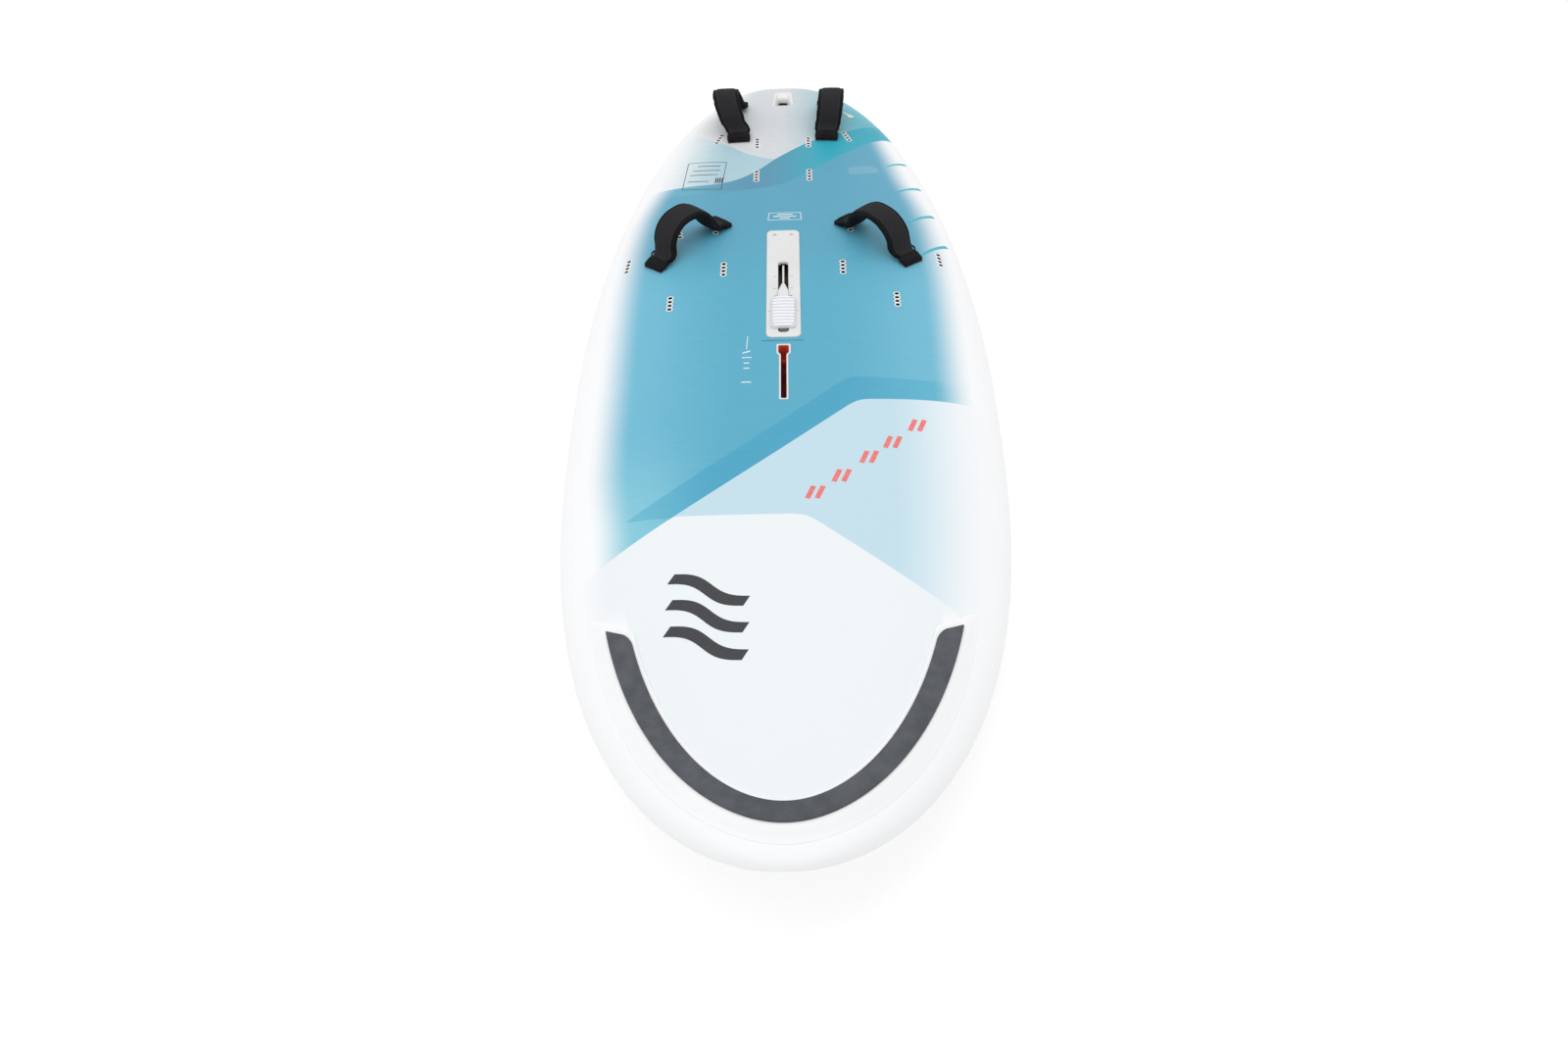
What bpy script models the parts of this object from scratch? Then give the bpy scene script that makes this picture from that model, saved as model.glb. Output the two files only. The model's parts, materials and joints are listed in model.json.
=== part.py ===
"""Windsurf board with a retracting daggerboard, four padded footstraps and its fittings.

Frame: the nose points to -Y, the tail to +Y, +Z is up and the flat of the bottom rests at z = 0.
Lengths are in metres.  Most places are given as (x, from_nose): the distance off the centre
line, and the distance behind the nose tip.
"""

from math import atan2, cos, hypot, pi, radians, sin, sqrt

import bmesh
import bpy
from mathutils import Matrix, Vector

# ---------------------------------------------------------------- driving dimensions
LENGTH = 2.52
WIDTH = 0.86
WIDEST = 1.19                # from the nose tip
RAIL_HEIGHT = 0.045          # height of the rail's widest line amidships
DECK_RISE = 0.080            # deck centre above that line amidships
NOSE_LIFT = 0.107            # scoop of the rail line at the nose tip
NOSE_LIFT_FROM = 1.15
TAIL_DROP = 0.012
TAIL_KICK = 0.012
TAIL_KICK_FROM = 1.95

PLAN_POWERS = (2.6, 1.95)    # nose, tail: roundness of the outline
DECK_POWERS = (4.0, 4.5)     # how the deck line comes down to the tips
KEEL_POWERS = (4.0, 14.0)
DECK_CAMBER = 4.0            # section powers: a domed deck over a flat bottom
BOTTOM_CAMBER = 10.0
BOTTOM_FLAT = 1.022          # how far the section overshoots, to end on a dead flat panel

SKIN = 0.004
CORE_GAP = 0.001
GAP = 0.0003                 # between neighbouring pieces
STATIONS = 9                 # per end
SECTION_STEPS = 16           # across the deck, and again across the bottom

# nose bumper: a U between two ellipses with a common centre
U_CENTRE = 0.80
U_OUTER = (0.332, 0.0616, radians(64.0))    # half width, tip from the nose, end angle
U_INNER = (0.292, 0.0970, radians(60.5))
RIDGE_LIP = 0.010
RIDGE_HEIGHT = 0.009
PAD_THICKNESS = 0.005
U_STEPS = 24

# mast track: a T-slot with a wide entry at its aft end
TRACK_FRONT = 1.1077
TRACK_SHOULDER = 1.2500
TRACK_AFT = 1.2800
TRACK_SLOT = 0.0113
TRACK_ENTRY = 0.0215
TRACK_RIM = 0.004
TRACK_T = 0.0260
TRACK_CAVITY = (0.010, 0.028)    # floor and roof of the T, above the box's underside
TRACK_BOX = (0.046, 0.045)   # width, depth
TRACK_END = 0.012            # solid length of the box past either end of its slot

# daggerboard
PIVOT = (1.419, 0.046)       # from the nose, height
BLADE_LENGTH = 0.50          # pivot to tip
BLADE_ROOT_RADIUS = 0.040
BLADE_TIP_RADIUS = 0.027
BLADE_THICKNESS = 0.020
SWING = radians(85)
CRANK = 0.058                # pivot to the drive lobe
LOBE_RADIUS = 0.005
PIN_RADIUS = 0.004
WELL_WIDTH = 0.030
WELL = (1.312, 1.928)
CASE_WALL = 0.006
CASE_TOP = 0.1140
COLLAR_TOP = 0.1212
COLLAR_AFT = 1.705
PLATE = (0.073, 1.298, 1.711)
PLATE_Z = (0.1215, 0.1275)
PLATE_SLOT = (0.022, 1.322, 1.5785)
PEDAL = (0.054, 1.3335, 1.4435)
PEDAL_Z = (0.1280, 0.1325)
PEDAL_RIBS = 9
NECK_AFT = 1.490
WEB = (0.004, 0.1120, 0.1200)
WEB_AFT = 1.575

# fin box and the cup in the deck that its bolt sits in
FIN_SLOT = (0.017, 2.190, 2.365)
FIN_WALL = 0.009
FIN_ROOF = (0.046, 0.052)
CUP_CENTRE = 2.385
CUP_SIZE = (0.062, 0.108, 0.029)
BOLT_AT = 2.3447

# footstrap plugs and straps, port side (+X); the other side mirrors them
PLUG_PITCH = 0.0135
PLUG_WIDTH = 0.015
PLUG_DEPTH = 0.024
PLUG_HOLE = 0.004
PLUGS = (
    ("front_inboard_fore", 0.2425, 1.4395, 0),
    ("front_inboard_aft", 0.1305, 1.5590, 0),
    ("front_middle_fore", 0.2695, 1.5980, 8),
    ("front_middle_aft", 0.1535, 1.7265, 4),
    ("front_outboard_fore", 0.3465, 1.6125, -4),
    ("front_outboard_aft", 0.2360, 1.7170, 10),
    ("rear_centre_fore", 0.0628, 1.9520, 0),
    ("rear_centre_aft", 0.0628, 2.1155, 0),
    ("rear_outboard_fore", 0.1570, 2.1470, -17),
    ("rear_middle_fore", 0.1090, 2.1490, 8),
    ("rear_middle_aft", 0.1175, 2.3180, 8),
)
STRAPPED = {"front": ("front_middle_fore", "front_middle_aft"),
            "rear": ("rear_middle_fore", "rear_middle_aft")}
STRAP_HEIGHT = 0.078         # to the webbing at the top of the arch
STRAP_LEAN = {                # outward lean of each arch, as a share of its height
    "front_port": 0.02, "front_starboard": 0.24,
    "rear_port": 0.12, "rear_starboard": 0.34,
}
TAB_HALF = 0.017
ARCH_INSET = 0.021           # arch foot in from the tab's centre
WEBBING = (0.044, 0.0025)
COVER = (0.060, 0.013)
SLEEVE = (0.046, 0.0040)
ARCH_STEPS = 14
ARCH_START = 0.04            # share of the half turn where the arch leaves its foot

COLLECTION = "windsurf_board"

WHITE = (0.86, 0.87, 0.88)
BLUE = (0.12, 0.41, 0.60)
FOAM = (0.88, 0.86, 0.80)
EVA = (0.065, 0.072, 0.080)
RED = (0.45, 0.03, 0.02)
BLACK = (0.012, 0.012, 0.013)
STEEL = (0.62, 0.63, 0.65)


# ---------------------------------------------------------------- hull shape
def along(from_nose):
    """World y of a distance behind the nose tip."""
    return from_nose - LENGTH / 2


def taper(from_nose, powers):
    """1 at the widest station and 0 at both tips, on two superellipse arcs."""
    if from_nose < WIDEST:
        reach = (WIDEST - from_nose) / WIDEST
        power = powers[0]
    else:
        reach = (from_nose - WIDEST) / (LENGTH - WIDEST)
        power = powers[1]
    return sqrt(max(0.0, 1 - reach ** power))


def half_width(from_nose):
    return WIDTH / 2 * taper(from_nose, PLAN_POWERS)


def rail_line(from_nose):
    """Height of the rail's widest line: it scoops up to the nose and eases down aft."""
    ahead = max(0.0, NOSE_LIFT_FROM - from_nose) / NOSE_LIFT_FROM
    behind = max(0.0, from_nose - WIDEST) / (LENGTH - WIDEST)
    return RAIL_HEIGHT + NOSE_LIFT * ahead ** 2.3 - TAIL_DROP * behind ** 3


def deck_rise(from_nose):
    return DECK_RISE * taper(from_nose, DECK_POWERS)


def keel_drop(from_nose):
    """Depth of the bottom's centre line below the rail line."""
    ahead = max(0.0, NOSE_LIFT_FROM - from_nose) / NOSE_LIFT_FROM
    behind = max(0.0, from_nose - TAIL_KICK_FROM) / (LENGTH - TAIL_KICK_FROM)
    rocker = NOSE_LIFT * ahead ** 2.3 + TAIL_KICK * behind ** 2
    return (rail_line(from_nose) - rocker) * taper(from_nose, KEEL_POWERS)


def keel_height(from_nose):
    return rail_line(from_nose) - keel_drop(from_nose)


def deck_height(x, from_nose):
    across = min(1.0, abs(x) / max(half_width(from_nose), 1e-6))
    return rail_line(from_nose) + deck_rise(from_nose) * sqrt(1 - across ** DECK_CAMBER)


def deck_normal(x, from_nose):
    step = 0.004
    slope_x = (deck_height(x + step, from_nose) - deck_height(x - step, from_nose)) / (2 * step)
    slope_y = (deck_height(x, from_nose + step) - deck_height(x, from_nose - step)) / (2 * step)
    return Vector((-slope_x, -slope_y, 1)).normalized()


def station_list():
    """Distances from the nose, closer together towards both tips."""
    angles = [pi / 2 * k / STATIONS for k in range(STATIONS + 1)]
    nose = [WIDEST * (1 - cos(a) ** (2 / PLAN_POWERS[0])) for a in angles]
    tail = [WIDEST + (LENGTH - WIDEST) * cos(a) ** (2 / PLAN_POWERS[1]) for a in angles]
    return nose + tail[-2::-1]


def section(from_nose, inset, upper, seam=0.0):
    """One half of the hull's section, rail to rail, shrunk by the inset on every side."""
    inner = 1 - 2 * inset / LENGTH
    y = along(from_nose) * inner
    half = half_width(from_nose) * (1 - 2 * inset / WIDTH)
    rail = rail_line(from_nose)
    if upper:
        rise = deck_rise(from_nose) * (1 - inset / DECK_RISE)
        camber = DECK_CAMBER
    else:
        rise = -keel_drop(from_nose) * (1 - inset / RAIL_HEIGHT)
        camber = BOTTOM_CAMBER
    points = []
    for k in range(SECTION_STEPS + 1):
        angle = pi * k / SECTION_STEPS
        side = 1 if k * 2 < SECTION_STEPS else -1
        x = side * half * abs(cos(angle)) ** (2 / camber)
        share = sin(angle) if upper else min(1.0, sin(angle) * BOTTOM_FLAT)
        points.append((x, y, rail + seam + rise * share))
    return points


# ---------------------------------------------------------------- building tools
def material(name, colour, roughness, metallic=0.0):
    paint = bpy.data.materials.new(name)
    paint.use_nodes = True
    shader = paint.node_tree.nodes["Principled BSDF"]
    shader.inputs["Base Color"].default_value = (*colour, 1)
    shader.inputs["Roughness"].default_value = roughness
    shader.inputs["Metallic"].default_value = metallic
    paint.diffuse_color = (*colour, 1)
    return paint


def place(mesh, name, finish=None):
    """An object in the board's collection, or with no finish a cutter in the cutters'."""
    item = bpy.data.objects.new(name, mesh)
    if finish is None:
        bpy.data.collections["cutters"].objects.link(item)
        item.hide_render = True
        item.display_type = "WIRE"
    else:
        bpy.data.collections[COLLECTION].objects.link(item)
        mesh.materials.clear()
        mesh.materials.append(material(name, *finish))
    return item


def close(bm, name):
    """A clean closed mesh from a bmesh, smooth where it is round."""
    bmesh.ops.remove_doubles(bm, verts=bm.verts, dist=1e-6)
    bmesh.ops.dissolve_degenerate(bm, edges=bm.edges, dist=1e-6)
    bmesh.ops.recalc_face_normals(bm, faces=bm.faces)
    mesh = bpy.data.meshes.new(name)
    bm.to_mesh(mesh)
    bm.free()
    mesh.shade_smooth()
    mesh.set_sharp_from_angle(angle=radians(35))
    return mesh


def loft(name, rings, ring_of_rings=False, capped=True):
    """A skin over closed rings of points.  A ring of rings joins its last ring to its first."""
    bm = bmesh.new()
    rows = [[bm.verts.new(point) for point in ring] for ring in rings]
    following = rows[1:] + rows[:1] if ring_of_rings else rows[1:]
    for low, high in zip(rows, following):
        for k in range(len(low)):
            after = (k + 1) % len(low)
            bm.faces.new((low[k], low[after], high[after], high[k]))
    if capped and not ring_of_rings:
        bm.faces.new(list(reversed(rows[0])))
        bm.faces.new(rows[-1])
    return close(bm, name)


def prism(name, outline, low, high):
    """An outline in the XY plane, raised from low to high."""
    rings = [[(x, y, z) for x, y in outline] for z in (low, high)]
    return loft(name, rings)


def cuboid(name, x_range, from_nose_range, z_range):
    bm = bmesh.new()
    bmesh.ops.create_cube(bm, size=1)
    y_range = [along(value) for value in from_nose_range]
    spans = (x_range, y_range, z_range)
    size = [high - low for low, high in spans]
    middle = [(high + low) / 2 for low, high in spans]
    bmesh.ops.scale(bm, vec=size, verts=bm.verts)
    bmesh.ops.translate(bm, vec=middle, verts=bm.verts)
    return close(bm, name)


def rod(name, radius, low, high, sides=12):
    """A cylinder about +Z through the origin, from low to high."""
    bm = bmesh.new()
    bmesh.ops.create_cone(bm, cap_ends=True, segments=sides, radius1=radius, radius2=radius,
                          depth=high - low)
    bmesh.ops.translate(bm, vec=(0, 0, (low + high) / 2), verts=bm.verts)
    return close(bm, name)


def moved(mesh, frame):
    mesh.transform(frame)
    return mesh


def joined(name, meshes):
    """Several separate closed meshes in one, for a cutter."""
    bm = bmesh.new()
    for mesh in meshes:
        bm.from_mesh(mesh)
    return close(bm, name)


def rounded_box(half_x, y_low, y_high, radius, steps=3):
    """A rectangle's outline with round corners."""
    corners = ((half_x - radius, y_high - radius, 0), (radius - half_x, y_high - radius, 90),
               (radius - half_x, y_low + radius, 180), (half_x - radius, y_low + radius, 270))
    outline = []
    for x, y, start in corners:
        for k in range(steps + 1):
            angle = radians(start + 90 * k / steps)
            outline.append((x + radius * cos(angle), y + radius * sin(angle)))
    return outline


def cut(item, mesh, operation="DIFFERENCE"):
    """A live Boolean of the item with a hidden mesh."""
    other = place(mesh, mesh.name)
    step = item.modifiers.new(mesh.name, "BOOLEAN")
    step.object = other
    step.operation = operation
    step.solver = "EXACT"


def deck_frame(x, from_nose, yaw=0.0):
    """A frame standing on the deck: its Z is the deck's normal, its Y runs aft."""
    up = deck_normal(x, from_nose)
    aft = Vector((sin(yaw), cos(yaw), 0))
    side = aft.cross(up).normalized()
    aft = up.cross(side)
    turn = Matrix((side, aft, up)).transposed().to_4x4()
    spot = Vector((x, along(from_nose), deck_height(x, from_nose)))
    return Matrix.Translation(spot) @ turn


# ---------------------------------------------------------------- hull
def hull_skin(name, upper, finish):
    """A closed laminate shell: its rings run over the outside and back along the inside."""
    seam = GAP if upper else 0.0
    rings = []
    for from_nose in station_list():
        outside = section(from_nose, 0.0, upper, seam)
        inside = section(from_nose, SKIN, upper, seam)
        rings.append(outside + inside[::-1])
    return place(loft(name, rings, capped=False), name, finish)


def foam_cores():
    """The foam blank: two sides glued to a centre strip, which the daggerboard case divides."""
    rings = []
    inset = SKIN + CORE_GAP
    for from_nose in station_list():
        deck = section(from_nose, inset, True)
        bottom = section(from_nose, inset, False)
        rings.append(deck + bottom[-2:0:-1])
    blank = loft("foam_blank", rings, capped=False)
    split = WELL_WIDTH / 2 + CASE_WALL + GAP
    whole = (-0.1, LENGTH + 0.1)
    strip = (GAP - split, split - GAP)
    parts = (("core_port", (split, WIDTH), whole),
             ("core_starboard", (-WIDTH, -split), whole),
             ("core_nose", strip, (whole[0], TRACK_AFT + TRACK_END)),
             ("core_tail", strip, (WELL[1] + CASE_WALL + GAP, whole[1])))
    cores = []
    for name, x_range, from_nose_range in parts:
        core = place(blank.copy(), name, (FOAM, 0.9))
        cut(core, cuboid(name + "_part", x_range, from_nose_range, (-0.1, 0.3)), "INTERSECT")
        cores.append(core)
    return cores


def u_point(ellipse, share):
    """A point on one edge of the nose bumper; share runs from -1 at one end to 1 at the other."""
    half, tip, end_angle = ellipse
    angle = end_angle * share
    return half * sin(angle), U_CENTRE - (U_CENTRE - tip) * cos(angle)


def u_band(name, grow, low, high):
    """A U-shaped band on the deck, between two heights above it, grown past both its edges."""
    outer = (U_OUTER[0] + grow, U_OUTER[1] - grow, U_OUTER[2] + grow * 1.5)
    inner = (U_INNER[0] - grow, U_INNER[1] + grow, U_INNER[2] + grow * 1.5)
    rings = []
    for k in range(U_STEPS + 1):
        share = 2 * k / U_STEPS - 1
        corners = []
        for ellipse, lift in ((outer, low), (outer, high), (inner, high), (inner, low)):
            x, from_nose = u_point(ellipse, share)
            corners.append((x, along(from_nose), deck_height(x, from_nose) + lift))
        rings.append(corners)
    return loft(name, rings)


def keyhole(grow):
    """The mast track's opening: a narrow slot with a wide entry at its aft end."""
    slot = TRACK_SLOT / 2 + grow
    entry = TRACK_ENTRY / 2 + grow
    front = along(TRACK_FRONT) - grow
    shoulder = along(TRACK_SHOULDER) - grow / 2
    aft = along(TRACK_AFT) + grow
    ease = 0.005
    return [(slot, front), (slot, shoulder), (entry, shoulder + ease), (entry, aft - ease),
            (entry - ease, aft), (ease - entry, aft), (-entry, aft - ease),
            (-entry, shoulder + ease), (-slot, shoulder), (-slot, front)]


def mast_track():
    """A T-slot box in two mouldings, a trough and the slotted top on it, and a rim in the deck."""
    top = DECK_RISE + RAIL_HEIGHT
    width, depth = TRACK_BOX
    floor = COLLAR_TOP - 0.0005 - depth
    roof = floor + TRACK_CAVITY[1]
    sides = (-width / 2, width / 2)
    ends = (TRACK_FRONT - TRACK_END, TRACK_AFT + TRACK_END)
    box_top = COLLAR_TOP - 0.0009
    box = place(cuboid("mast_track_box", sides, ends, (floor, roof - GAP)), "mast_track_box",
                (RED, 0.4))
    cut(box, cuboid("mast_track_cavity", (-TRACK_T / 2, TRACK_T / 2),
                    (TRACK_FRONT - 0.004, TRACK_AFT + 0.002), (floor + TRACK_CAVITY[0], top)))
    lips = place(cuboid("mast_track_top", sides, ends, (roof, box_top)), "mast_track_top",
                 (RED, 0.4))
    cut(lips, prism("mast_track_mouth", keyhole(0.0), floor, top))
    rim = place(prism("mast_track_rim", keyhole(TRACK_RIM), box_top + GAP, top + 0.0008),
                "mast_track_rim", (WHITE, 0.35))
    cut(rim, prism("mast_track_rim_mouth", keyhole(0.0), box_top - 0.01, top + 0.01))
    pocket = cuboid("mast_track_pocket", (-width / 2 - GAP, width / 2 + GAP),
                    (ends[0] - GAP, ends[1] + GAP), (floor - GAP, top + 0.02))
    window = prism("mast_track_window", keyhole(TRACK_RIM + GAP), box_top - 0.004, top + 0.02)
    return pocket, window


def fin_fittings():
    width, front, aft = FIN_SLOT
    half = width / 2 + FIN_WALL
    rings = []
    for k in range(5):
        from_nose = front - FIN_WALL + (aft - front + 2 * FIN_WALL) * k / 4
        low = keel_height(from_nose) + 0.0006
        y = along(from_nose)
        rings.append([(-half, y, low), (half, y, low), (half, y, FIN_ROOF[1]),
                      (-half, y, FIN_ROOF[1])])
    box = place(loft("fin_box", rings), "fin_box", (WHITE, 0.4))
    cut(box, cuboid("fin_slot", (-width / 2, width / 2), (front, aft), (-0.01, FIN_ROOF[0])))
    here = Matrix.Translation((0, along(BOLT_AT), 0))
    cut(box, moved(rod("fin_bolt_hole", 0.0036, 0.03, 0.09), here))

    frame = deck_frame(0, CUP_CENTRE)
    sink = Matrix.Translation((0, 0, -0.0015))
    outline = rounded_box(CUP_SIZE[0] / 2, -CUP_SIZE[1] / 2, CUP_SIZE[1] / 2, 0.012)
    cup_mesh = moved(prism("fin_bolt_cup", outline, -CUP_SIZE[2], 0), frame @ sink)
    cup = place(cup_mesh, "fin_bolt_cup", (WHITE, 0.3))
    mouths = []
    for depth, front_y, aft_y, front_half, aft_half in ((0.002, -0.050, 0.050, 0.025, 0.0195),
                                                        (-0.006, -0.049, 0.034, 0.021, 0.016),
                                                        (-0.0215, -0.048, -0.026, 0.014, 0.014)):
        mouths.append([(front_half, front_y, depth), (aft_half, aft_y, depth),
                       (-aft_half, aft_y, depth), (-front_half, front_y, depth)])
    cut(cup, moved(loft("fin_cup_scoop", mouths), frame @ sink))
    cut(cup, moved(rod("fin_cup_hole", 0.0036, 0.03, 0.09), here))

    bolt = place(moved(rod("fin_bolt", 0.003, FIN_ROOF[0] + 0.0005, 0.074), here), "fin_bolt",
                 (STEEL, 0.3, 1.0))
    cut(bolt, moved(rod("fin_bolt_head", 0.0062, 0.0715, 0.0765), here), "UNION")

    wide = rounded_box(CUP_SIZE[0] / 2 + GAP, -CUP_SIZE[1] / 2 - GAP, CUP_SIZE[1] / 2 + GAP, 0.012)
    cup_pocket = moved(prism("fin_cup_pocket", wide, -CUP_SIZE[2] - GAP, 0.03), frame @ sink)
    box_pocket = cuboid("fin_box_pocket", (-half - GAP, half + GAP),
                        (front - FIN_WALL - GAP, aft + FIN_WALL + GAP), (-0.02, FIN_ROOF[1] + GAP))
    bolt_pocket = moved(rod("fin_bolt_pocket", 0.0036, FIN_ROOF[0], 0.072), here)
    return cup_pocket, box_pocket, bolt_pocket


# ---------------------------------------------------------------- daggerboard
def daggerboard_case():
    half = WELL_WIDTH / 2 + CASE_WALL
    front = WELL[0] - CASE_WALL
    aft = WELL[1] + CASE_WALL
    floor = SKIN + 0.0012
    case = place(cuboid("daggerboard_case", (-half, half), (front, aft), (floor, CASE_TOP)),
                 "daggerboard_case", (WHITE, 0.5))
    cut(case, cuboid("case_collar", (-half, half), (front, COLLAR_AFT), (0.09, COLLAR_TOP)),
        "UNION")
    inner = WELL_WIDTH / 2
    cut(case, cuboid("case_well", (-inner, inner), WELL, (-0.01, CASE_TOP - CASE_WALL)))
    cut(case, cuboid("case_mouth", (-inner, inner), (WELL[0], COLLAR_AFT - CASE_WALL),
                     (0.05, 0.14)))
    sideways = Matrix.Translation((0, along(PIVOT[0]), PIVOT[1])) @ Matrix.Rotation(pi / 2, 4, "Y")
    cut(case, moved(rod("case_pin_bore", PIN_RADIUS + 0.0005, -half * 2, half * 2, 16), sideways))
    place(moved(rod("pivot_pin", PIN_RADIUS, -half + 0.001, half - 0.001, 16), sideways),
          "pivot_pin", (STEEL, 0.3, 1.0))


def slot_seals():
    outer = WELL_WIDTH / 2 - GAP
    inner = BLADE_THICKNESS / 2 + 0.0010
    ends = (PIVOT[0] - BLADE_ROOT_RADIUS - 0.004, WELL[1] - 0.003)
    for name, side in (("slot_seal_port", 1), ("slot_seal_starboard", -1)):
        span = sorted((side * inner, side * outer))
        place(cuboid(name, span, ends, (0.0006, 0.0036)), name, (BLACK, 0.8))
    return cuboid("bottom_slot", (-WELL_WIDTH / 2, WELL_WIDTH / 2),
                  (ends[0] - GAP, ends[1] + GAP), (-0.02, 0.02))


def blade():
    """The blade lies aft in its case; its head carries a lobe that the pedal's fork pushes."""
    outline = []
    for k in range(9):
        angle = pi / 2 + pi * k / 8
        outline.append((BLADE_ROOT_RADIUS * cos(angle), BLADE_ROOT_RADIUS * sin(angle)))
    for k in range(7):
        angle = -pi / 2 + pi * k / 6
        outline.append((BLADE_LENGTH - BLADE_TIP_RADIUS + BLADE_TIP_RADIUS * cos(angle),
                        BLADE_TIP_RADIUS * sin(angle)))
    mesh = prism("daggerboard_blade", outline, -BLADE_THICKNESS / 2, BLADE_THICKNESS / 2)
    stand = Matrix(((0, 0, 1), (1, 0, 0), (0, 1, 0))).to_4x4()
    item = place(moved(mesh, stand), "daggerboard_blade", (WHITE, 0.35))
    item.location = (0, along(PIVOT[0]), PIVOT[1])
    bevel = item.modifiers.new("edges", "BEVEL")
    bevel.width = 0.005
    bevel.segments = 2
    bevel.limit_method = "ANGLE"
    bevel.angle_limit = radians(50)
    here = Matrix.Translation(item.location)
    lean = Matrix.Rotation(SWING / 2, 4, "X")
    arm_outline = [(0.004, -0.004), (0.004, 0.004), (-0.004, 0.004), (-0.004, -0.004)]
    cut(item, moved(prism("blade_arm", arm_outline, 0.02, CRANK), here @ lean), "UNION")
    lobe = rod("blade_lobe", LOBE_RADIUS, -0.005, 0.005)
    up = Matrix.Translation((0, 0, CRANK))
    sideways = Matrix.Rotation(pi / 2, 4, "Y")
    cut(item, moved(lobe, here @ lean @ up @ sideways), "UNION")
    cut(item, moved(rod("blade_bore", PIN_RADIUS + 0.0005, -0.03, 0.03, 16), here @ sideways))


def cover_plate():
    width, front, aft = PLATE
    outline = rounded_box(width / 2, along(front), along(aft), 0.013, 4)
    plate = place(prism("daggerboard_cover", outline, *PLATE_Z), "daggerboard_cover", (WHITE, 0.4))
    slot = rounded_box(PLATE_SLOT[0] / 2, along(PLATE_SLOT[1]), along(PLATE_SLOT[2]), 0.008)
    cut(plate, prism("cover_slot", slot, 0.10, 0.14))
    for name, side in (("cover_screw_port", 1), ("cover_screw_starboard", -1)):
        spot = Matrix.Translation((side * 0.0185, along(1.685), PLATE_Z[1]))
        cut(plate, moved(rod(name + "_sink", 0.0040, -0.0022, 0.01), spot))
        cut(plate, moved(rod(name + "_hole", 0.0022, -0.01, 0.01), spot))
        cut(bpy.data.objects["daggerboard_case"],
            moved(rod(name + "_pilot", 0.0022, -0.016, 0.01), spot))
        screw = place(moved(rod(name, 0.0018, -0.015, -0.001), spot), name, (STEEL, 0.3, 1.0))
        cut(screw, moved(rod(name + "_head", 0.0037, -0.0018, -0.0002), spot), "UNION")
    wide = rounded_box(width / 2 + GAP, along(front) - GAP, along(aft) + GAP, 0.013, 4)
    return prism("cover_window", wide, COLLAR_TOP - 0.006, 0.15)


def pedal():
    """A ribbed foot pad on the cover, with a web in the slot and a fork over the blade's lobe."""
    width, front, aft = PEDAL
    low, high = PEDAL_Z
    outline = rounded_box(width / 2, along(front), along(aft), 0.010)
    pad = place(prism("daggerboard_pedal", outline, low, high), "daggerboard_pedal", (WHITE, 0.45))
    neck = [(0.011, along(aft) - 0.004), (0.011, along(aft) + 0.020), (0.003, along(NECK_AFT)),
            (-0.003, along(NECK_AFT)), (-0.011, along(aft) + 0.020), (-0.011, along(aft) - 0.004)]
    cut(pad, prism("pedal_neck", neck, low, high - 0.001), "UNION")
    pitch = (aft - front - 0.016) / (PEDAL_RIBS - 1)
    for k in range(PEDAL_RIBS):
        at = front + 0.008 + pitch * k
        rib = cuboid(f"pedal_rib_{k}", (-0.021, 0.021), (at - 0.0025, at + 0.0025),
                     (high - 0.001, high + 0.0015))
        cut(pad, rib, "UNION")
    stem = cuboid("pedal_stem", (-0.009, 0.009), (front + 0.006, aft - 0.004),
                  (WEB[1], low + 0.001))
    cut(pad, stem, "UNION")
    web = cuboid("pedal_web", (-WEB[0] / 2, WEB[0] / 2), (aft - 0.010, WEB_AFT), WEB[1:])
    cut(pad, web, "UNION")
    lobe_at = PIVOT[0] - CRANK * sin(SWING / 2)
    reach = PIVOT[1] + CRANK * cos(SWING / 2) + 0.0007
    play = LOBE_RADIUS + 0.0022
    for name, side in (("pedal_fork_fore", -1), ("pedal_fork_aft", 1)):
        span = sorted((lobe_at + side * play, lobe_at + side * (play + 0.003)))
        cut(pad, cuboid(name, (-0.007, 0.007), span, (reach, WEB[1] + 0.001)), "UNION")


# ---------------------------------------------------------------- footstraps
def plug_frame(side, x, from_nose, yaw):
    return deck_frame(side * x, from_nose, radians(side * yaw))


def plug_outline(grow):
    half = PLUG_WIDTH / 2 + grow
    reach = 1.5 * PLUG_PITCH + half
    return rounded_box(half, -reach, reach, half * 0.999, 2)


def plugs():
    """Every plug shares one mesh; returns the pockets that they sit in."""
    template = place(prism("plug_body", plug_outline(0.0), -PLUG_DEPTH, 0), "plug_body")
    holes = []
    for k in range(4):
        at = Matrix.Translation((0, (k - 1.5) * PLUG_PITCH, 0))
        holes.append(moved(rod("plug_hole", PLUG_HOLE, -0.020, 0.005, 6), at))
    cut(template, joined("plug_holes", holes))
    scene = bpy.context.evaluated_depsgraph_get()
    shape = bpy.data.meshes.new_from_object(template.evaluated_get(scene))
    bpy.data.objects.remove(template)
    pockets = []
    for side, tag in ((1, "port"), (-1, "starboard")):
        for name, x, from_nose, yaw in PLUGS:
            frame = plug_frame(side, x, from_nose, yaw)
            plug = place(shape.copy(), f"plug_{name}_{tag}", (WHITE, 0.4))
            plug.matrix_world = frame
            pocket = prism("plug_pocket", plug_outline(GAP), -PLUG_DEPTH - GAP, 0.006)
            pockets.append(moved(pocket, frame))
    return joined("plug_pockets", pockets)


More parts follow.
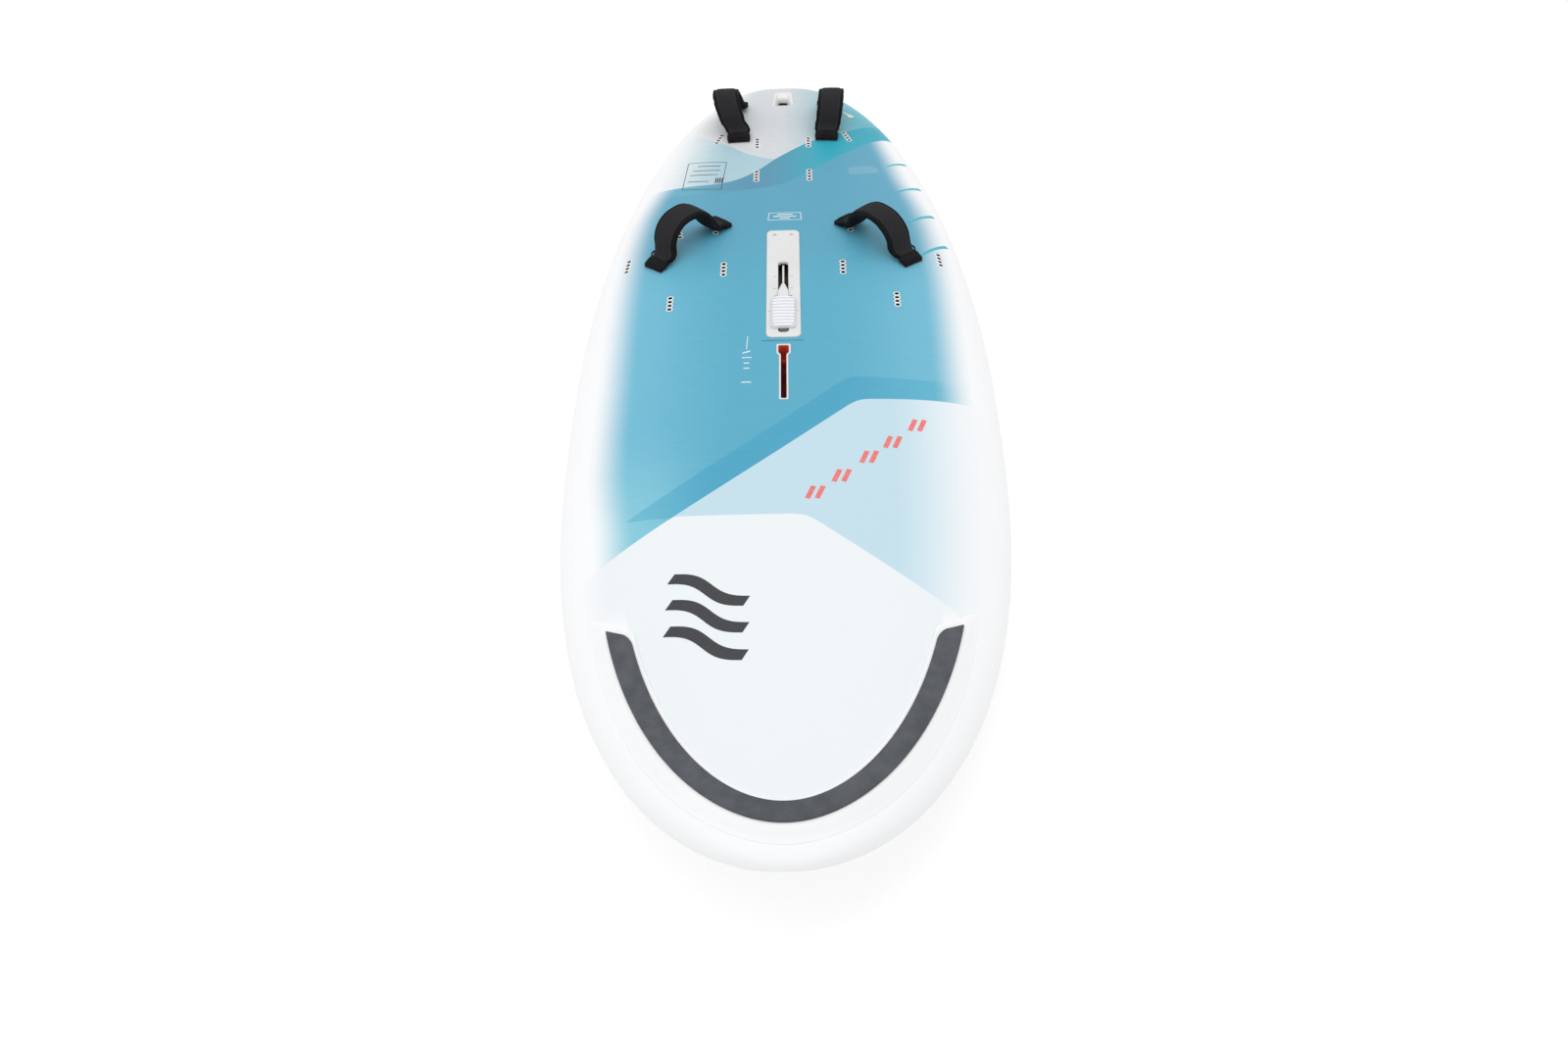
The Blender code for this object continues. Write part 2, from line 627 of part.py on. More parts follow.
def strap_path(span):
    """Points (u, height, hug) of the webbing's middle; hug is 1 where it lies on the deck."""
    half = span / 2
    lie = WEBBING[1] / 2 + 0.0014
    arch = half - ARCH_INSET
    points = [(-half - TAB_HALF, lie, 1), (-half + TAB_HALF * 0.6, lie, 1)]
    for k in range(ARCH_STEPS + 1):
        angle = pi * (ARCH_START + (1 - 2 * ARCH_START) * k / ARCH_STEPS)
        across = -arch * abs(cos(angle)) ** 0.8 * (1 if k * 2 < ARCH_STEPS else -1)
        lift = STRAP_HEIGHT * sin(angle) ** 0.85
        points.append((across, lift, 0))
    points += [(half - TAB_HALF * 0.6, lie, 1), (half + TAB_HALF, lie, 1)]
    return points


def ribbon(path, fore, aft, size, corner, lean):
    """Rings of a flat band that follows the path between two feet."""
    chord = Vector((aft[0] - fore[0], aft[1] - fore[1]))
    run = chord.normalized()
    side = Vector((run.y, -run.x))
    middle = Vector(((fore[0] + aft[0]) / 2, (fore[1] + aft[1]) / 2))
    rings = []
    for k, (u, lift, hug) in enumerate(path):
        before = path[max(k - 1, 0)]
        after = path[min(k + 1, len(path) - 1)]
        slope = atan2(after[1] - before[1], after[0] - before[0])
        if hug:
            slope = 0.0
        half_x, half_z = size[0] / 2, size[1] / 2
        if corner:
            loop = [(half_x, half_z - corner), (half_x - corner, half_z),
                    (corner - half_x, half_z), (-half_x, half_z - corner),
                    (-half_x, corner - half_z), (corner - half_x, -half_z),
                    (half_x - corner, -half_z), (half_x, corner - half_z)]
        else:
            loop = [(half_x, half_z), (-half_x, half_z), (-half_x, -half_z), (half_x, -half_z)]
        ring = []
        for across, up in loop:
            shift = u - up * sin(slope)
            spot = middle + run * shift + side * (across + lean * (1 - hug) * (lift + up * cos(slope)))
            share = min(1.0, max(0.0, shift / chord.length + 0.5))
            level = deck_height(*fore) * (1 - share) + deck_height(*aft) * share
            if hug:
                level = deck_height(spot.x, spot.y)
            ring.append((spot.x, along(spot.y), level + lift + up * cos(slope)))
        rings.append(ring)
    return rings


def footstrap(row, side, tag):
    """Webbing screwed down at both ends inside a padded sleeve."""
    places = {name: (x, from_nose, yaw) for name, x, from_nose, yaw in PLUGS}
    ends = [places[name] for name in STRAPPED[row]]
    fore, aft = [(side * x, from_nose) for x, from_nose, yaw in ends]
    path = strap_path(hypot(fore[0] - aft[0], fore[1] - aft[1]))
    lean = side * STRAP_LEAN[f"{row}_{tag}"]
    name = f"{row}_strap_{tag}"
    webbing = place(loft(name + "_webbing", ribbon(path, fore, aft, WEBBING, 0, lean)),
                    name + "_webbing", (BLACK, 0.8))
    arch = path[2:-2]
    outer = ribbon(arch, fore, aft, COVER, 0.005, lean)
    inner = ribbon(arch, fore, aft, SLEEVE, 0.001, lean)
    place(loft(name + "_cover", outer + inner[::-1], ring_of_rings=True), name + "_cover",
          (BLACK, 0.85))
    for end, outward, (x, from_nose, yaw) in zip(("fore", "aft"), (-1, 1), ends):
        hole = Matrix.Translation((0, outward * PLUG_PITCH / 2, 0))
        frame = plug_frame(side, x, from_nose, yaw) @ hole
        cut(webbing, moved(rod(f"{name}_{end}_eyelet", 0.0034, -0.004, 0.012), frame))
        screw = place(moved(rod("strap_screw", 0.0027, -0.014, 0.008), frame),
                      f"{row}_strap_screw_{end}_{tag}", (STEEL, 0.3, 1.0))
        cut(screw, moved(rod("strap_screw_washer", 0.0085, 0.0042, 0.0055), frame), "UNION")
        cut(screw, moved(rod("strap_screw_head", 0.0055, 0.005, 0.0085), frame), "UNION")


# ---------------------------------------------------------------- assembly
def clear_scene():
    for item in list(bpy.data.objects):
        bpy.data.objects.remove(item)
    for name in (COLLECTION, "cutters"):
        group = bpy.data.collections.new(name)
        bpy.context.scene.collection.children.link(group)


def main():
    clear_scene()
    deck = hull_skin("deck_skin", True, (BLUE, 0.5))
    cut(deck, u_band("nose_ridge", RIDGE_LIP, -SKIN / 2, RIDGE_HEIGHT), "UNION")
    bottom = hull_skin("bottom_skin", False, (WHITE, 0.25))
    cores = foam_cores()
    pad_low = RIDGE_HEIGHT + GAP
    pad = u_band("nose_pad", 0.0, pad_low, pad_low + PAD_THICKNESS)
    place(pad, "nose_pad", (EVA, 0.9))

    track_pocket, track_window = mast_track()
    cup_pocket, fin_pocket, bolt_pocket = fin_fittings()
    daggerboard_case()
    bottom_slot = slot_seals()
    blade()
    cover_window = cover_plate()
    pedal()
    plug_pockets = plugs()
    for side, tag in ((1, "port"), (-1, "starboard")):
        for row in STRAPPED:
            footstrap(row, side, tag)

    for mesh in (track_window, cover_window, cup_pocket, plug_pockets):
        cut(deck, mesh)
    for mesh in (bottom_slot, fin_pocket):
        cut(bottom, mesh)
    sides = (cores[0], cores[1])
    nose, tail = cores[2:]
    cuts = ((sides, (track_pocket, cup_pocket, plug_pockets)), ((nose,), (track_pocket,)),
            ((tail,), (cup_pocket, fin_pocket, bolt_pocket)))
    for targets, meshes in cuts:
        for core in targets:
            for mesh in meshes:
                cut(core, mesh)


main()
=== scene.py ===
"""The windsurf board's looks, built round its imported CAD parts.

Frame: metres, nose to -Y, tail to +Y, +Z up.  Places on the deck are given as (x, from_nose).
"""

import json
from math import acos, atan2, cos, pi, radians, sin, sqrt

import bmesh
import bpy
from mathutils import Matrix, Vector
from mathutils.bvhtree import BVHTree


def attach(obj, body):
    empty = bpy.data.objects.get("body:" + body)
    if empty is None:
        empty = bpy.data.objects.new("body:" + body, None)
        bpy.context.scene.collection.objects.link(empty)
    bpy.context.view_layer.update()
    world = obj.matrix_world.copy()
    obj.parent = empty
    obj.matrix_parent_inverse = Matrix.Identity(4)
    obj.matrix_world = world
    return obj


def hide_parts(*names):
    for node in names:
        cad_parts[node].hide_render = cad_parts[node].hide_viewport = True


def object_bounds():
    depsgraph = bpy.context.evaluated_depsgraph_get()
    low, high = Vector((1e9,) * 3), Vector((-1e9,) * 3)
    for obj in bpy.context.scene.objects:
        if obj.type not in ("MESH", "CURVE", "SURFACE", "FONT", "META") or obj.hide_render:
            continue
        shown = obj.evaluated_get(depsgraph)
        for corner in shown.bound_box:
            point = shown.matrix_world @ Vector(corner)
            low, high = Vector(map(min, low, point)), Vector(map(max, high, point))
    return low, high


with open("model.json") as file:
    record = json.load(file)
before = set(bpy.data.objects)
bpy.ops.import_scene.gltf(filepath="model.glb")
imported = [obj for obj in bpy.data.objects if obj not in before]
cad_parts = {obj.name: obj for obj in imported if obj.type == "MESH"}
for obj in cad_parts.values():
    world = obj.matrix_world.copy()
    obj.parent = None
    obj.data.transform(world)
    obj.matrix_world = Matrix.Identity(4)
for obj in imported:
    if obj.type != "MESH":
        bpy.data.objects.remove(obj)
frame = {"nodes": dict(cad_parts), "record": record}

cad_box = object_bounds()

# ---- driving dimensions
LENGTH = cad_box[1][1] - cad_box[0][1]
WIDTH = cad_box[1][0] - cad_box[0][0]
WIDEST = 1.19
RAIL_HEIGHT = 0.045
DECK_RISE = 0.080
NOSE_LIFT = 0.107
NOSE_LIFT_FROM = 1.15
TAIL_DROP = 0.012
TAIL_KICK = 0.012
TAIL_KICK_FROM = 1.95
PLAN_POWERS = (2.6, 1.95)
DECK_POWERS = (4.0, 4.5)
KEEL_POWERS = (4.0, 14.0)
DECK_CAMBER = 4.0
BOTTOM_CAMBER = 10.0
BOTTOM_FLAT = 1.022
SKIN = 0.004
SEAM = 0.0003                # between the two shells
GAP = 0.0003                 # round a fitting in its window
POCKET_GAP = 0.0002          # round a plug, the cup and the mast track's rim
ABOVE_DECK = 0.20            # a height that clears the deck everywhere
EASED_EDGE = 0.0007
STATIONS = 64                # per end
SIDES = ((1, "port"), (-1, "starboard"))
ACROSS = 72

# nose bumper: a U between two ellipses with a common centre
U_CENTRE = 0.80
U_OUTER = (0.332, 0.0616, radians(64.0))
U_INNER = (0.292, 0.0970, radians(60.5))
U_STEPS = 120
RIDGE_LIP = 0.010
RIDGE_HEIGHT = 0.009
SUNK = 0.002                 # how far the moulding's edges reach into the deck
PAD_THICKNESS = 0.005
PAD_EASE = 0.0016            # of its edges
PAD_CORNER = 0.014           # radius of its inner corners, in plan
RIDGE_SLOPE = 0.029          # from the pad's outer edge to the crease along the rail

# mast track
TRACK_FRONT = 1.1077
TRACK_SHOULDER = 1.2500
TRACK_AFT = 1.2800
TRACK_SLOT = 0.0113
TRACK_ENTRY = 0.0215
TRACK_RIM = 0.004
TRACK_EASE = 0.0035
TRACK_RIM_HEIGHTS = (0.1242, 0.1258)
TRACK_LINER_HEIGHTS = (0.1206, 0.1240)

# daggerboard and its cover plate
PIVOT = (1.419, 0.046)
BLADE_LENGTH = 0.50
BLADE_ROOT_RADIUS = 0.040
BLADE_TIP_RADIUS = 0.027
BLADE_THICKNESS = 0.020
BLADE_BORE = 0.0045
BLADE_STEPS = 70
LOBE_PROFILE = ((0, -0.005), (0.0042, -0.005), (0.005, -0.0042), (0.005, 0.0042), (0.0042, 0.005),
                (0, 0.005))
PIN_PROFILE = ((0, -0.020), (0.0033, -0.020), (0.004, -0.0193), (0.004, 0.0193), (0.0033, 0.020),
               (0, 0.020))
SWING = radians(85)
CRANK = 0.058
WELL_WIDTH = 0.030
WELL_AFT = 1.928
PLATE = (0.073, 1.3060, 1.7040)
PLATE_CORNER = 0.013
PLATE_TOP = 0.1275
PLATE_SLOT = (0.022, 1.322, 1.5785)
PEDAL = (0.054, 1.3335, 1.4435)
PEDAL_LOW = 0.1280
PEDAL_FACE = 0.1310
PEDAL_CREST = 0.0030
PEDAL_GROOVE = 0.0016
PEDAL_RIBS = 10
PEDAL_GRID = (28, 150)
SCREWS_AT = (0.0185, 1.685)
SCREW_PROFILE = ((0, -0.015), (0.0014, -0.0145), (0.0018, -0.0135), (0.0018, -0.0020), (0.0036, -0.0019),
                 (0.0037, -0.0010), (0.0031, -0.0004), (0.0016, -0.0002), (0, -0.0002))
GASKETS = ((1.3135, 1.3520), (1.4760, 1.6000))
GASKET_HALF = 0.0147
GASKET_HEIGHTS = (0.1005, 0.1035)
PEDAL_LEG = ((0.0118, 0.0135), (1.4445, 1.4655), 0.1296)     # across, along, top
PEDAL_FOOT = ((0.0122, 0.0190), (1.4450, 1.4478), 0.1300)

# fin box and the cup over its bolt
FIN_SLOT = (0.017, 2.190, 2.365)
FIN_WALL = 0.009
CUP = ((0.0250, 2.334), (0.0193, 2.437))     # half width and place of its front and aft edges
CUP_DEPTH = 0.026            # of its outside
CUP_FLANGE = 0.0022
BOLT_SLOT_DEPTH = 0.008
CUP_LAYERS = (               # cup_outline's arguments, depth
    ((CUP_FLANGE,), -0.004), ((CUP_FLANGE,), 0.0002), ((0.0012,), 0.0008), ((-0.0002,), 0.0006),
    ((-0.0020,), -0.0014), ((-0.004, 0.97, 0.97), -0.0050), ((-0.004, 0.90, 0.87), -0.0105),
    ((-0.003, 0.78, 0.74), -0.0138), ((-0.002, 0.64, 0.62, 0.01), -0.0150),
)
BOLT_AT = 2.3447
BOLT_PROFILE = ((0, 0.0465), (0.0024, 0.0465), (0.003, 0.0472), (0.003, 0.0715), (0.0060, 0.0715),
                (0.0062, 0.0720), (0.0062, 0.0745), (0.0052, 0.0762), (0.0030, 0.0765), (0, 0.0765))

# footstrap plugs (name, x, from_nose, yaw in degrees); the other side mirrors them
PLUG_PITCH = 0.0135
PLUG_LOBE = 0.0076
PLUG_HOLE = 0.0051
PLUG_DEPTH = 0.022
PLUGS = (
    ("front_inboard_fore", 0.2425, 1.4395, 0),
    ("front_inboard_aft", 0.1305, 1.5590, 0),
    ("front_middle_fore", 0.2695, 1.5980, 8),
    ("front_middle_aft", 0.1535, 1.7265, 4),
    ("front_outboard_fore", 0.3465, 1.6125, -4),
    ("front_outboard_aft", 0.2360, 1.7170, 10),
    ("rear_centre_fore", 0.0628, 1.9520, 0),
    ("rear_centre_aft", 0.0628, 2.1155, 0),
    ("rear_outboard_fore", 0.1570, 2.1470, -17),
    ("rear_middle_fore", 0.1090, 2.1490, 8),
    ("rear_middle_aft", 0.1175, 2.3180, 8),
)
STRAPPED = {"front": ("front_middle_fore", "front_middle_aft"),
            "rear": ("rear_middle_fore", "rear_middle_aft")}
STRAP_HEIGHT = {             # to the middle of the padding at the top of each arch
    "front_port": 0.072, "front_starboard": 0.072,
    "rear_port": 0.075, "rear_starboard": 0.080,
}
STRAP_LEAN = {               # outward lean of each arch, as a share of its height
    "front_port": 0.02, "front_starboard": 0.24,
    "rear_port": 0.12, "rear_starboard": 0.34,
}
ARCH_INSET = 0.021
FOOT_REACH = 0.028           # past the plug's centre to the end of the foot
FOOT_LIFT = 0.0098           # middle of the padding over the deck at the foot
STRAP_STATIONS = 84
STRAP_CORE = (0.0335, 0.0078)    # half width and half thickness before it swells
STRAP_CUFF = (0.0285, 0.0068)
STRAP_FACING = 0.0235        # half width
STRAP_PIPING = (0.0280, 0.0021)  # place across, radius
STRAP_SEAM = (0.0212, 0.0030)    # place across, stitch length
STRAP_CUFF_LENGTH = 0.040
WEBBING = (0.022, -0.0012, 0.0012)   # half width, bottom, top
SOLE = (0.0268, -0.0013, 0.0010)
SOLE_DROP = FOOT_LIFT - 0.0016
CLOTH_VOXEL = 0.004
CLOTH_CAP = 0.003            # furthest that a point may move
CLOTH_PRESSURE = 4.0
CLOTH_FRAMES = 20
FOOT_CORE = (0.0235, 0.0042)

# printed graphics, as (x, from_nose)
PRINT_LIFT = 0.0003
DOT_PITCH = 0.0052
STRIPES = (                  # start, end, width at the start and end, bow
    ((0.250, 2.004), (0.298, 2.043), 0.0036, 0.0090, 0.0022),
    ((0.266, 1.880), (0.326, 1.928), 0.0040, 0.0092, 0.0026),
    ((0.286, 1.749), (0.348, 1.806), 0.0045, 0.0094, 0.0030),
    ((0.298, 1.605), (0.369, 1.683), 0.0050, 0.0096, 0.0034),
)
CORAL_MARKS = ((0.2574, 1.0212), (0.2072, 0.9689), (0.1605, 0.9252), (0.1072, 0.8720), (0.0573, 0.8258))
EMBLEM_BARS = ((-0.130, 0.440), (-0.130, 0.505), (-0.130, 0.570))
LABEL_FRAME = ((-0.2373, 1.905), (-0.145, 1.8945), (-0.1356, 2.022), (-0.228, 2.0338))
LABEL_ROWS = ((1.965, -0.222, -0.155), (1.985, -0.215, -0.150), (2.006, -0.205, -0.150),
              (1.935, -0.226, -0.176))                              # from_nose, start, end
WHITE_FRAME = ((-0.034, 1.752), (0.042, 1.752), (0.040, 1.782), (-0.032, 1.782))
WHITE_ROWS = (                                                      # x, from_nose, half length
    (0.004, 1.759, 0.012), (0.004, 1.767, 0.026), (0.004, 1.775, 0.018), (-0.0752, 1.160, 0.010),
    (-0.0752, 1.205, 0.006), (-0.0752, 1.222, 0.006), (-0.0752, 1.240, 0.010),
)
WHITE_STROKES = (                                                   # start, end, width
    ((-0.0760, 1.268), (-0.0740, 1.312), 0.0016), ((-0.0840, 1.255), (-0.0680, 1.262), 0.0035),
    ((0.150, 2.300), (0.176, 2.268), 0.0004, 0.018),
)
TICKS = ((0.0145, 0.0215, 1.5220), (0.0145, 0.0215, 1.4780), (0.0290, 0.0330, 1.3960))

# camera
CAMERA_PLACE = (0.040, -2.4959, 2.0236)
CAMERA_PITCH = radians(43.67)
CAMERA_YAW = radians(-1.170)
CAMERA_ROLL = radians(-1.934)
CAMERA_LENS = 35.0
CAMERA_SENSOR = 36.0

# studio light
SKY_STRENGTH = 0.82
LAMPS = (("key", (-1.2, -0.8, 4.2), (3.5, 3.5), 36), ("top", (0.8, 1.4, 4.6), (4.5, 4.5), 44))
FLOOR_HALF = 30
FLOOR_ALBEDO = 0.50
FLOOR_GLOW = 0.53


# ---- hull shape
def along(from_nose):
    """World y of a distance behind the nose tip."""
    return from_nose - LENGTH / 2


def taper(from_nose, powers):
    if from_nose < WIDEST:
        reach = (WIDEST - from_nose) / WIDEST
        power = powers[0]
    else:
        reach = (from_nose - WIDEST) / (LENGTH - WIDEST)
        power = powers[1]
    return sqrt(max(0.0, 1 - reach ** power))


def half_width(from_nose):
    return WIDTH / 2 * taper(from_nose, PLAN_POWERS)


def rail_line(from_nose):
    ahead = max(0.0, NOSE_LIFT_FROM - from_nose) / NOSE_LIFT_FROM
    behind = max(0.0, from_nose - WIDEST) / (LENGTH - WIDEST)
    return RAIL_HEIGHT + NOSE_LIFT * ahead ** 2.3 - TAIL_DROP * behind ** 3


def deck_rise(from_nose):
    return DECK_RISE * taper(from_nose, DECK_POWERS)


def keel_drop(from_nose):
    ahead = max(0.0, NOSE_LIFT_FROM - from_nose) / NOSE_LIFT_FROM
    behind = max(0.0, from_nose - TAIL_KICK_FROM) / (LENGTH - TAIL_KICK_FROM)
    rocker = NOSE_LIFT * ahead ** 2.3 + TAIL_KICK * behind ** 2
    return (rail_line(from_nose) - rocker) * taper(from_nose, KEEL_POWERS)


def deck_height(x, from_nose):
    across = min(1.0, abs(x) / max(half_width(from_nose), 1e-6))
    return rail_line(from_nose) + deck_rise(from_nose) * sqrt(1 - across ** DECK_CAMBER)


def deck_normal(x, from_nose):
    step = 0.004
    slope_x = (deck_height(x + step, from_nose) - deck_height(x - step, from_nose)) / (2 * step)
    slope_y = (deck_height(x, from_nose + step) - deck_height(x, from_nose - step)) / (2 * step)
    return Vector((-slope_x, -slope_y, 1)).normalized()


def deck_frame(x, from_nose, yaw):
    """A frame standing on the deck: its Z is the deck's normal, its Y runs aft."""
    up = deck_normal(x, from_nose)
    aft = Vector((sin(yaw), cos(yaw), 0))
    side = aft.cross(up).normalized()
    aft = up.cross(side)
    turn = Matrix((side, aft, up)).transposed().to_4x4()
    return Matrix.Translation((x, along(from_nose), deck_height(x, from_nose))) @ turn


def station_list():
    angles = [pi / 2 * k / STATIONS for k in range(STATIONS + 1)]
    nose = [WIDEST * (1 - cos(a) ** (2 / PLAN_POWERS[0])) for a in angles]
    tail = [WIDEST + (LENGTH - WIDEST) * cos(a) ** (2 / PLAN_POWERS[1]) for a in angles]
    return nose + tail[-2::-1]


def section(from_nose, inset, upper, seam=0.0):
    """One half of the hull's section, rail to rail, evenly spaced round its curve."""
    y = along(from_nose) * (1 - 2 * inset / LENGTH)
    half = half_width(from_nose) * (1 - 2 * inset / WIDTH)
    rail = rail_line(from_nose) + seam
    if upper:
        rise = deck_rise(from_nose) * (1 - inset / DECK_RISE)
        camber = DECK_CAMBER
        stretch = 1.0
    else:
        rise = -keel_drop(from_nose) * (1 - inset / RAIL_HEIGHT)
        camber = BOTTOM_CAMBER
        stretch = BOTTOM_FLAT
    points = []
    for k in range(ACROSS + 1):
        share = cos(pi * k / ACROSS)
        lift = sqrt(max(0.0, 1 - abs(share) ** camber))
        points.append((half * share, y, rail + rise * min(1.0, lift * stretch)))
    return points


# ---- shader writing
CURVE_BASE = 1.75            # lowest from_nose of a tail curve
PRINT_EDGE = 0.0012          # half the width of a painted edge
WEAVE_PITCH = 0.0022
DULL_SPECULAR = 0.15
CUP_SLOPE = 0.182            # the deck's fall aft at the cup


class Paint:
    """A node material written as short calls, each of which returns an output socket."""

    def __init__(self, name, colour=(0.8, 0.8, 0.8), roughness=0.5, metallic=0.0):
        self.material = bpy.data.materials.new(name)
        self.material.use_nodes = True
        self.tree = self.material.node_tree
        self.shader = self.tree.nodes["Principled BSDF"]
        self.set("Base Color", (*colour, 1))
        self.set("Roughness", roughness)
        self.set("Metallic", metallic)
        self.where = self.node("ShaderNodeTexCoord").outputs["Object"]
        self.x, self.y, self.z = self.node("ShaderNodeSeparateXYZ", self.where).outputs

    def node(self, kind, *values, **settings):
        node = self.tree.nodes.new(kind)
        for key, value in settings.items():
            setattr(node, key, value)
        for socket, value in zip(node.inputs, values):
            self.feed(socket, value)
        return node

    def feed(self, socket, value):
        if isinstance(value, bpy.types.NodeSocket):
            self.tree.links.new(value, socket)
        elif value is not None:
            socket.default_value = value

    def set(self, name, value):
        self.feed(self.shader.inputs[name], value)

    def calc(self, operation, *values):
        return self.node("ShaderNodeMath", *values, operation=operation).outputs[0]

    def ramp(self, value, low, high, to_low=0.0, to_high=1.0):
        """Eases from to_low to to_high as the value goes from low to high."""
        return self.node("ShaderNodeMapRange", value, low, high, to_low, to_high,
                         interpolation_type="SMOOTHSTEP").outputs[0]

    def line(self, start, end):
        """from_nose of a straight line at this x."""
        slope = (end[1] - start[1]) / (end[0] - start[0])
        return self.calc("MULTIPLY_ADD", self.x, slope, start[1] - slope * start[0])

    def curve(self, points, low, high):
        """A smooth curve of y over x through a few points inside x = low ... high."""
        share = self.node("ShaderNodeMapRange", self.x, low, high).outputs[0]
        node = self.node("ShaderNodeFloatCurve", 1.0, share)
        bends = node.mapping.curves[0].points
        spots = [((x - low) / (high - low), y - CURVE_BASE) for x, y in points]
        while len(bends) < len(spots):
            bends.new(0.5, 0.5)
        for bend, spot in zip(bends, spots):
            bend.location = spot
        node.mapping.update()
        return self.calc("ADD", node.outputs[0], CURVE_BASE)

    def blend(self, share, low, high):
        mix = self.node("ShaderNodeMix", data_type="RGBA")
        self.feed(mix.inputs["Factor"], share)
        self.feed(mix.inputs[6], low if isinstance(low, bpy.types.NodeSocket) else (*low, 1))
        self.feed(mix.inputs[7], high if isinstance(high, bpy.types.NodeSocket) else (*high, 1))
        return mix.outputs[2]

    def noise(self, scale, detail=3.0, stretch=(1, 1, 1)):
        spot = self.node("ShaderNodeMapping", self.where)
        spot.inputs["Scale"].default_value = stretch
        node = self.node("ShaderNodeTexNoise", spot.outputs[0])
        node.inputs["Scale"].default_value = scale
        node.inputs["Detail"].default_value = detail
        return node.outputs["Fac"]

    def mottle(self, scale, light, dark, low=0.3, high=0.8, most=1.0, detail=3.0):
        """Cloudy patches between two colours."""
        return self.blend(self.ramp(self.noise(scale, detail), low, high, 0.0, most), light, dark)

    def bump(self, height, distance, strength=1.0):
        node = self.node("ShaderNodeBump")
        node.inputs["Strength"].default_value = strength
        node.inputs["Distance"].default_value = distance
        self.feed(node.inputs["Height"], height)
        self.set("Normal", node.outputs[0])

    def grain(self, scale=1500, strength=0.2):
        """The fine grain of a plastic or printed surface."""
        self.bump(self.noise(scale, 2), 0.0003, strength)


# ---- colours, linear
BLUE_CENTRE = (0.076, 0.378, 0.535)
BLUE_SIDE = (0.135, 0.460, 0.620)
BLUE_TAIL = (0.082, 0.310, 0.450)
# lighter blue of a painted sheen on the deck's lower left
PAINTED_SHEEN_BLUE = (0.215, 0.558, 0.675)
BAND = (0.044, 0.340, 0.520)
BAND_SIDE = (0.090, 0.420, 0.585)
PANEL = (0.500, 0.680, 0.765)
NOSE_WHITE = (0.790, 0.828, 0.852)
RAIL_WHITE = (0.890, 0.895, 0.905)
WAVE_BLUE = (0.075, 0.270, 0.405)
WAVE_SIDE = (0.125, 0.405, 0.545)
WAVE_TEAL = (0.010, 0.375, 0.490)
WAVE_PALE = (0.390, 0.580, 0.650)
TAIL_GREY = (0.640, 0.665, 0.690)
TAIL_TEAL = (0.110, 0.460, 0.550)
TURQUOISE = (0.045, 0.460, 0.560)
CORAL = (0.840, 0.175, 0.165)
CHARCOAL = (0.026, 0.029, 0.035)
WHITE = (0.730, 0.732, 0.728)


def shaded(colour, share):
    return tuple(share * value for value in colour)


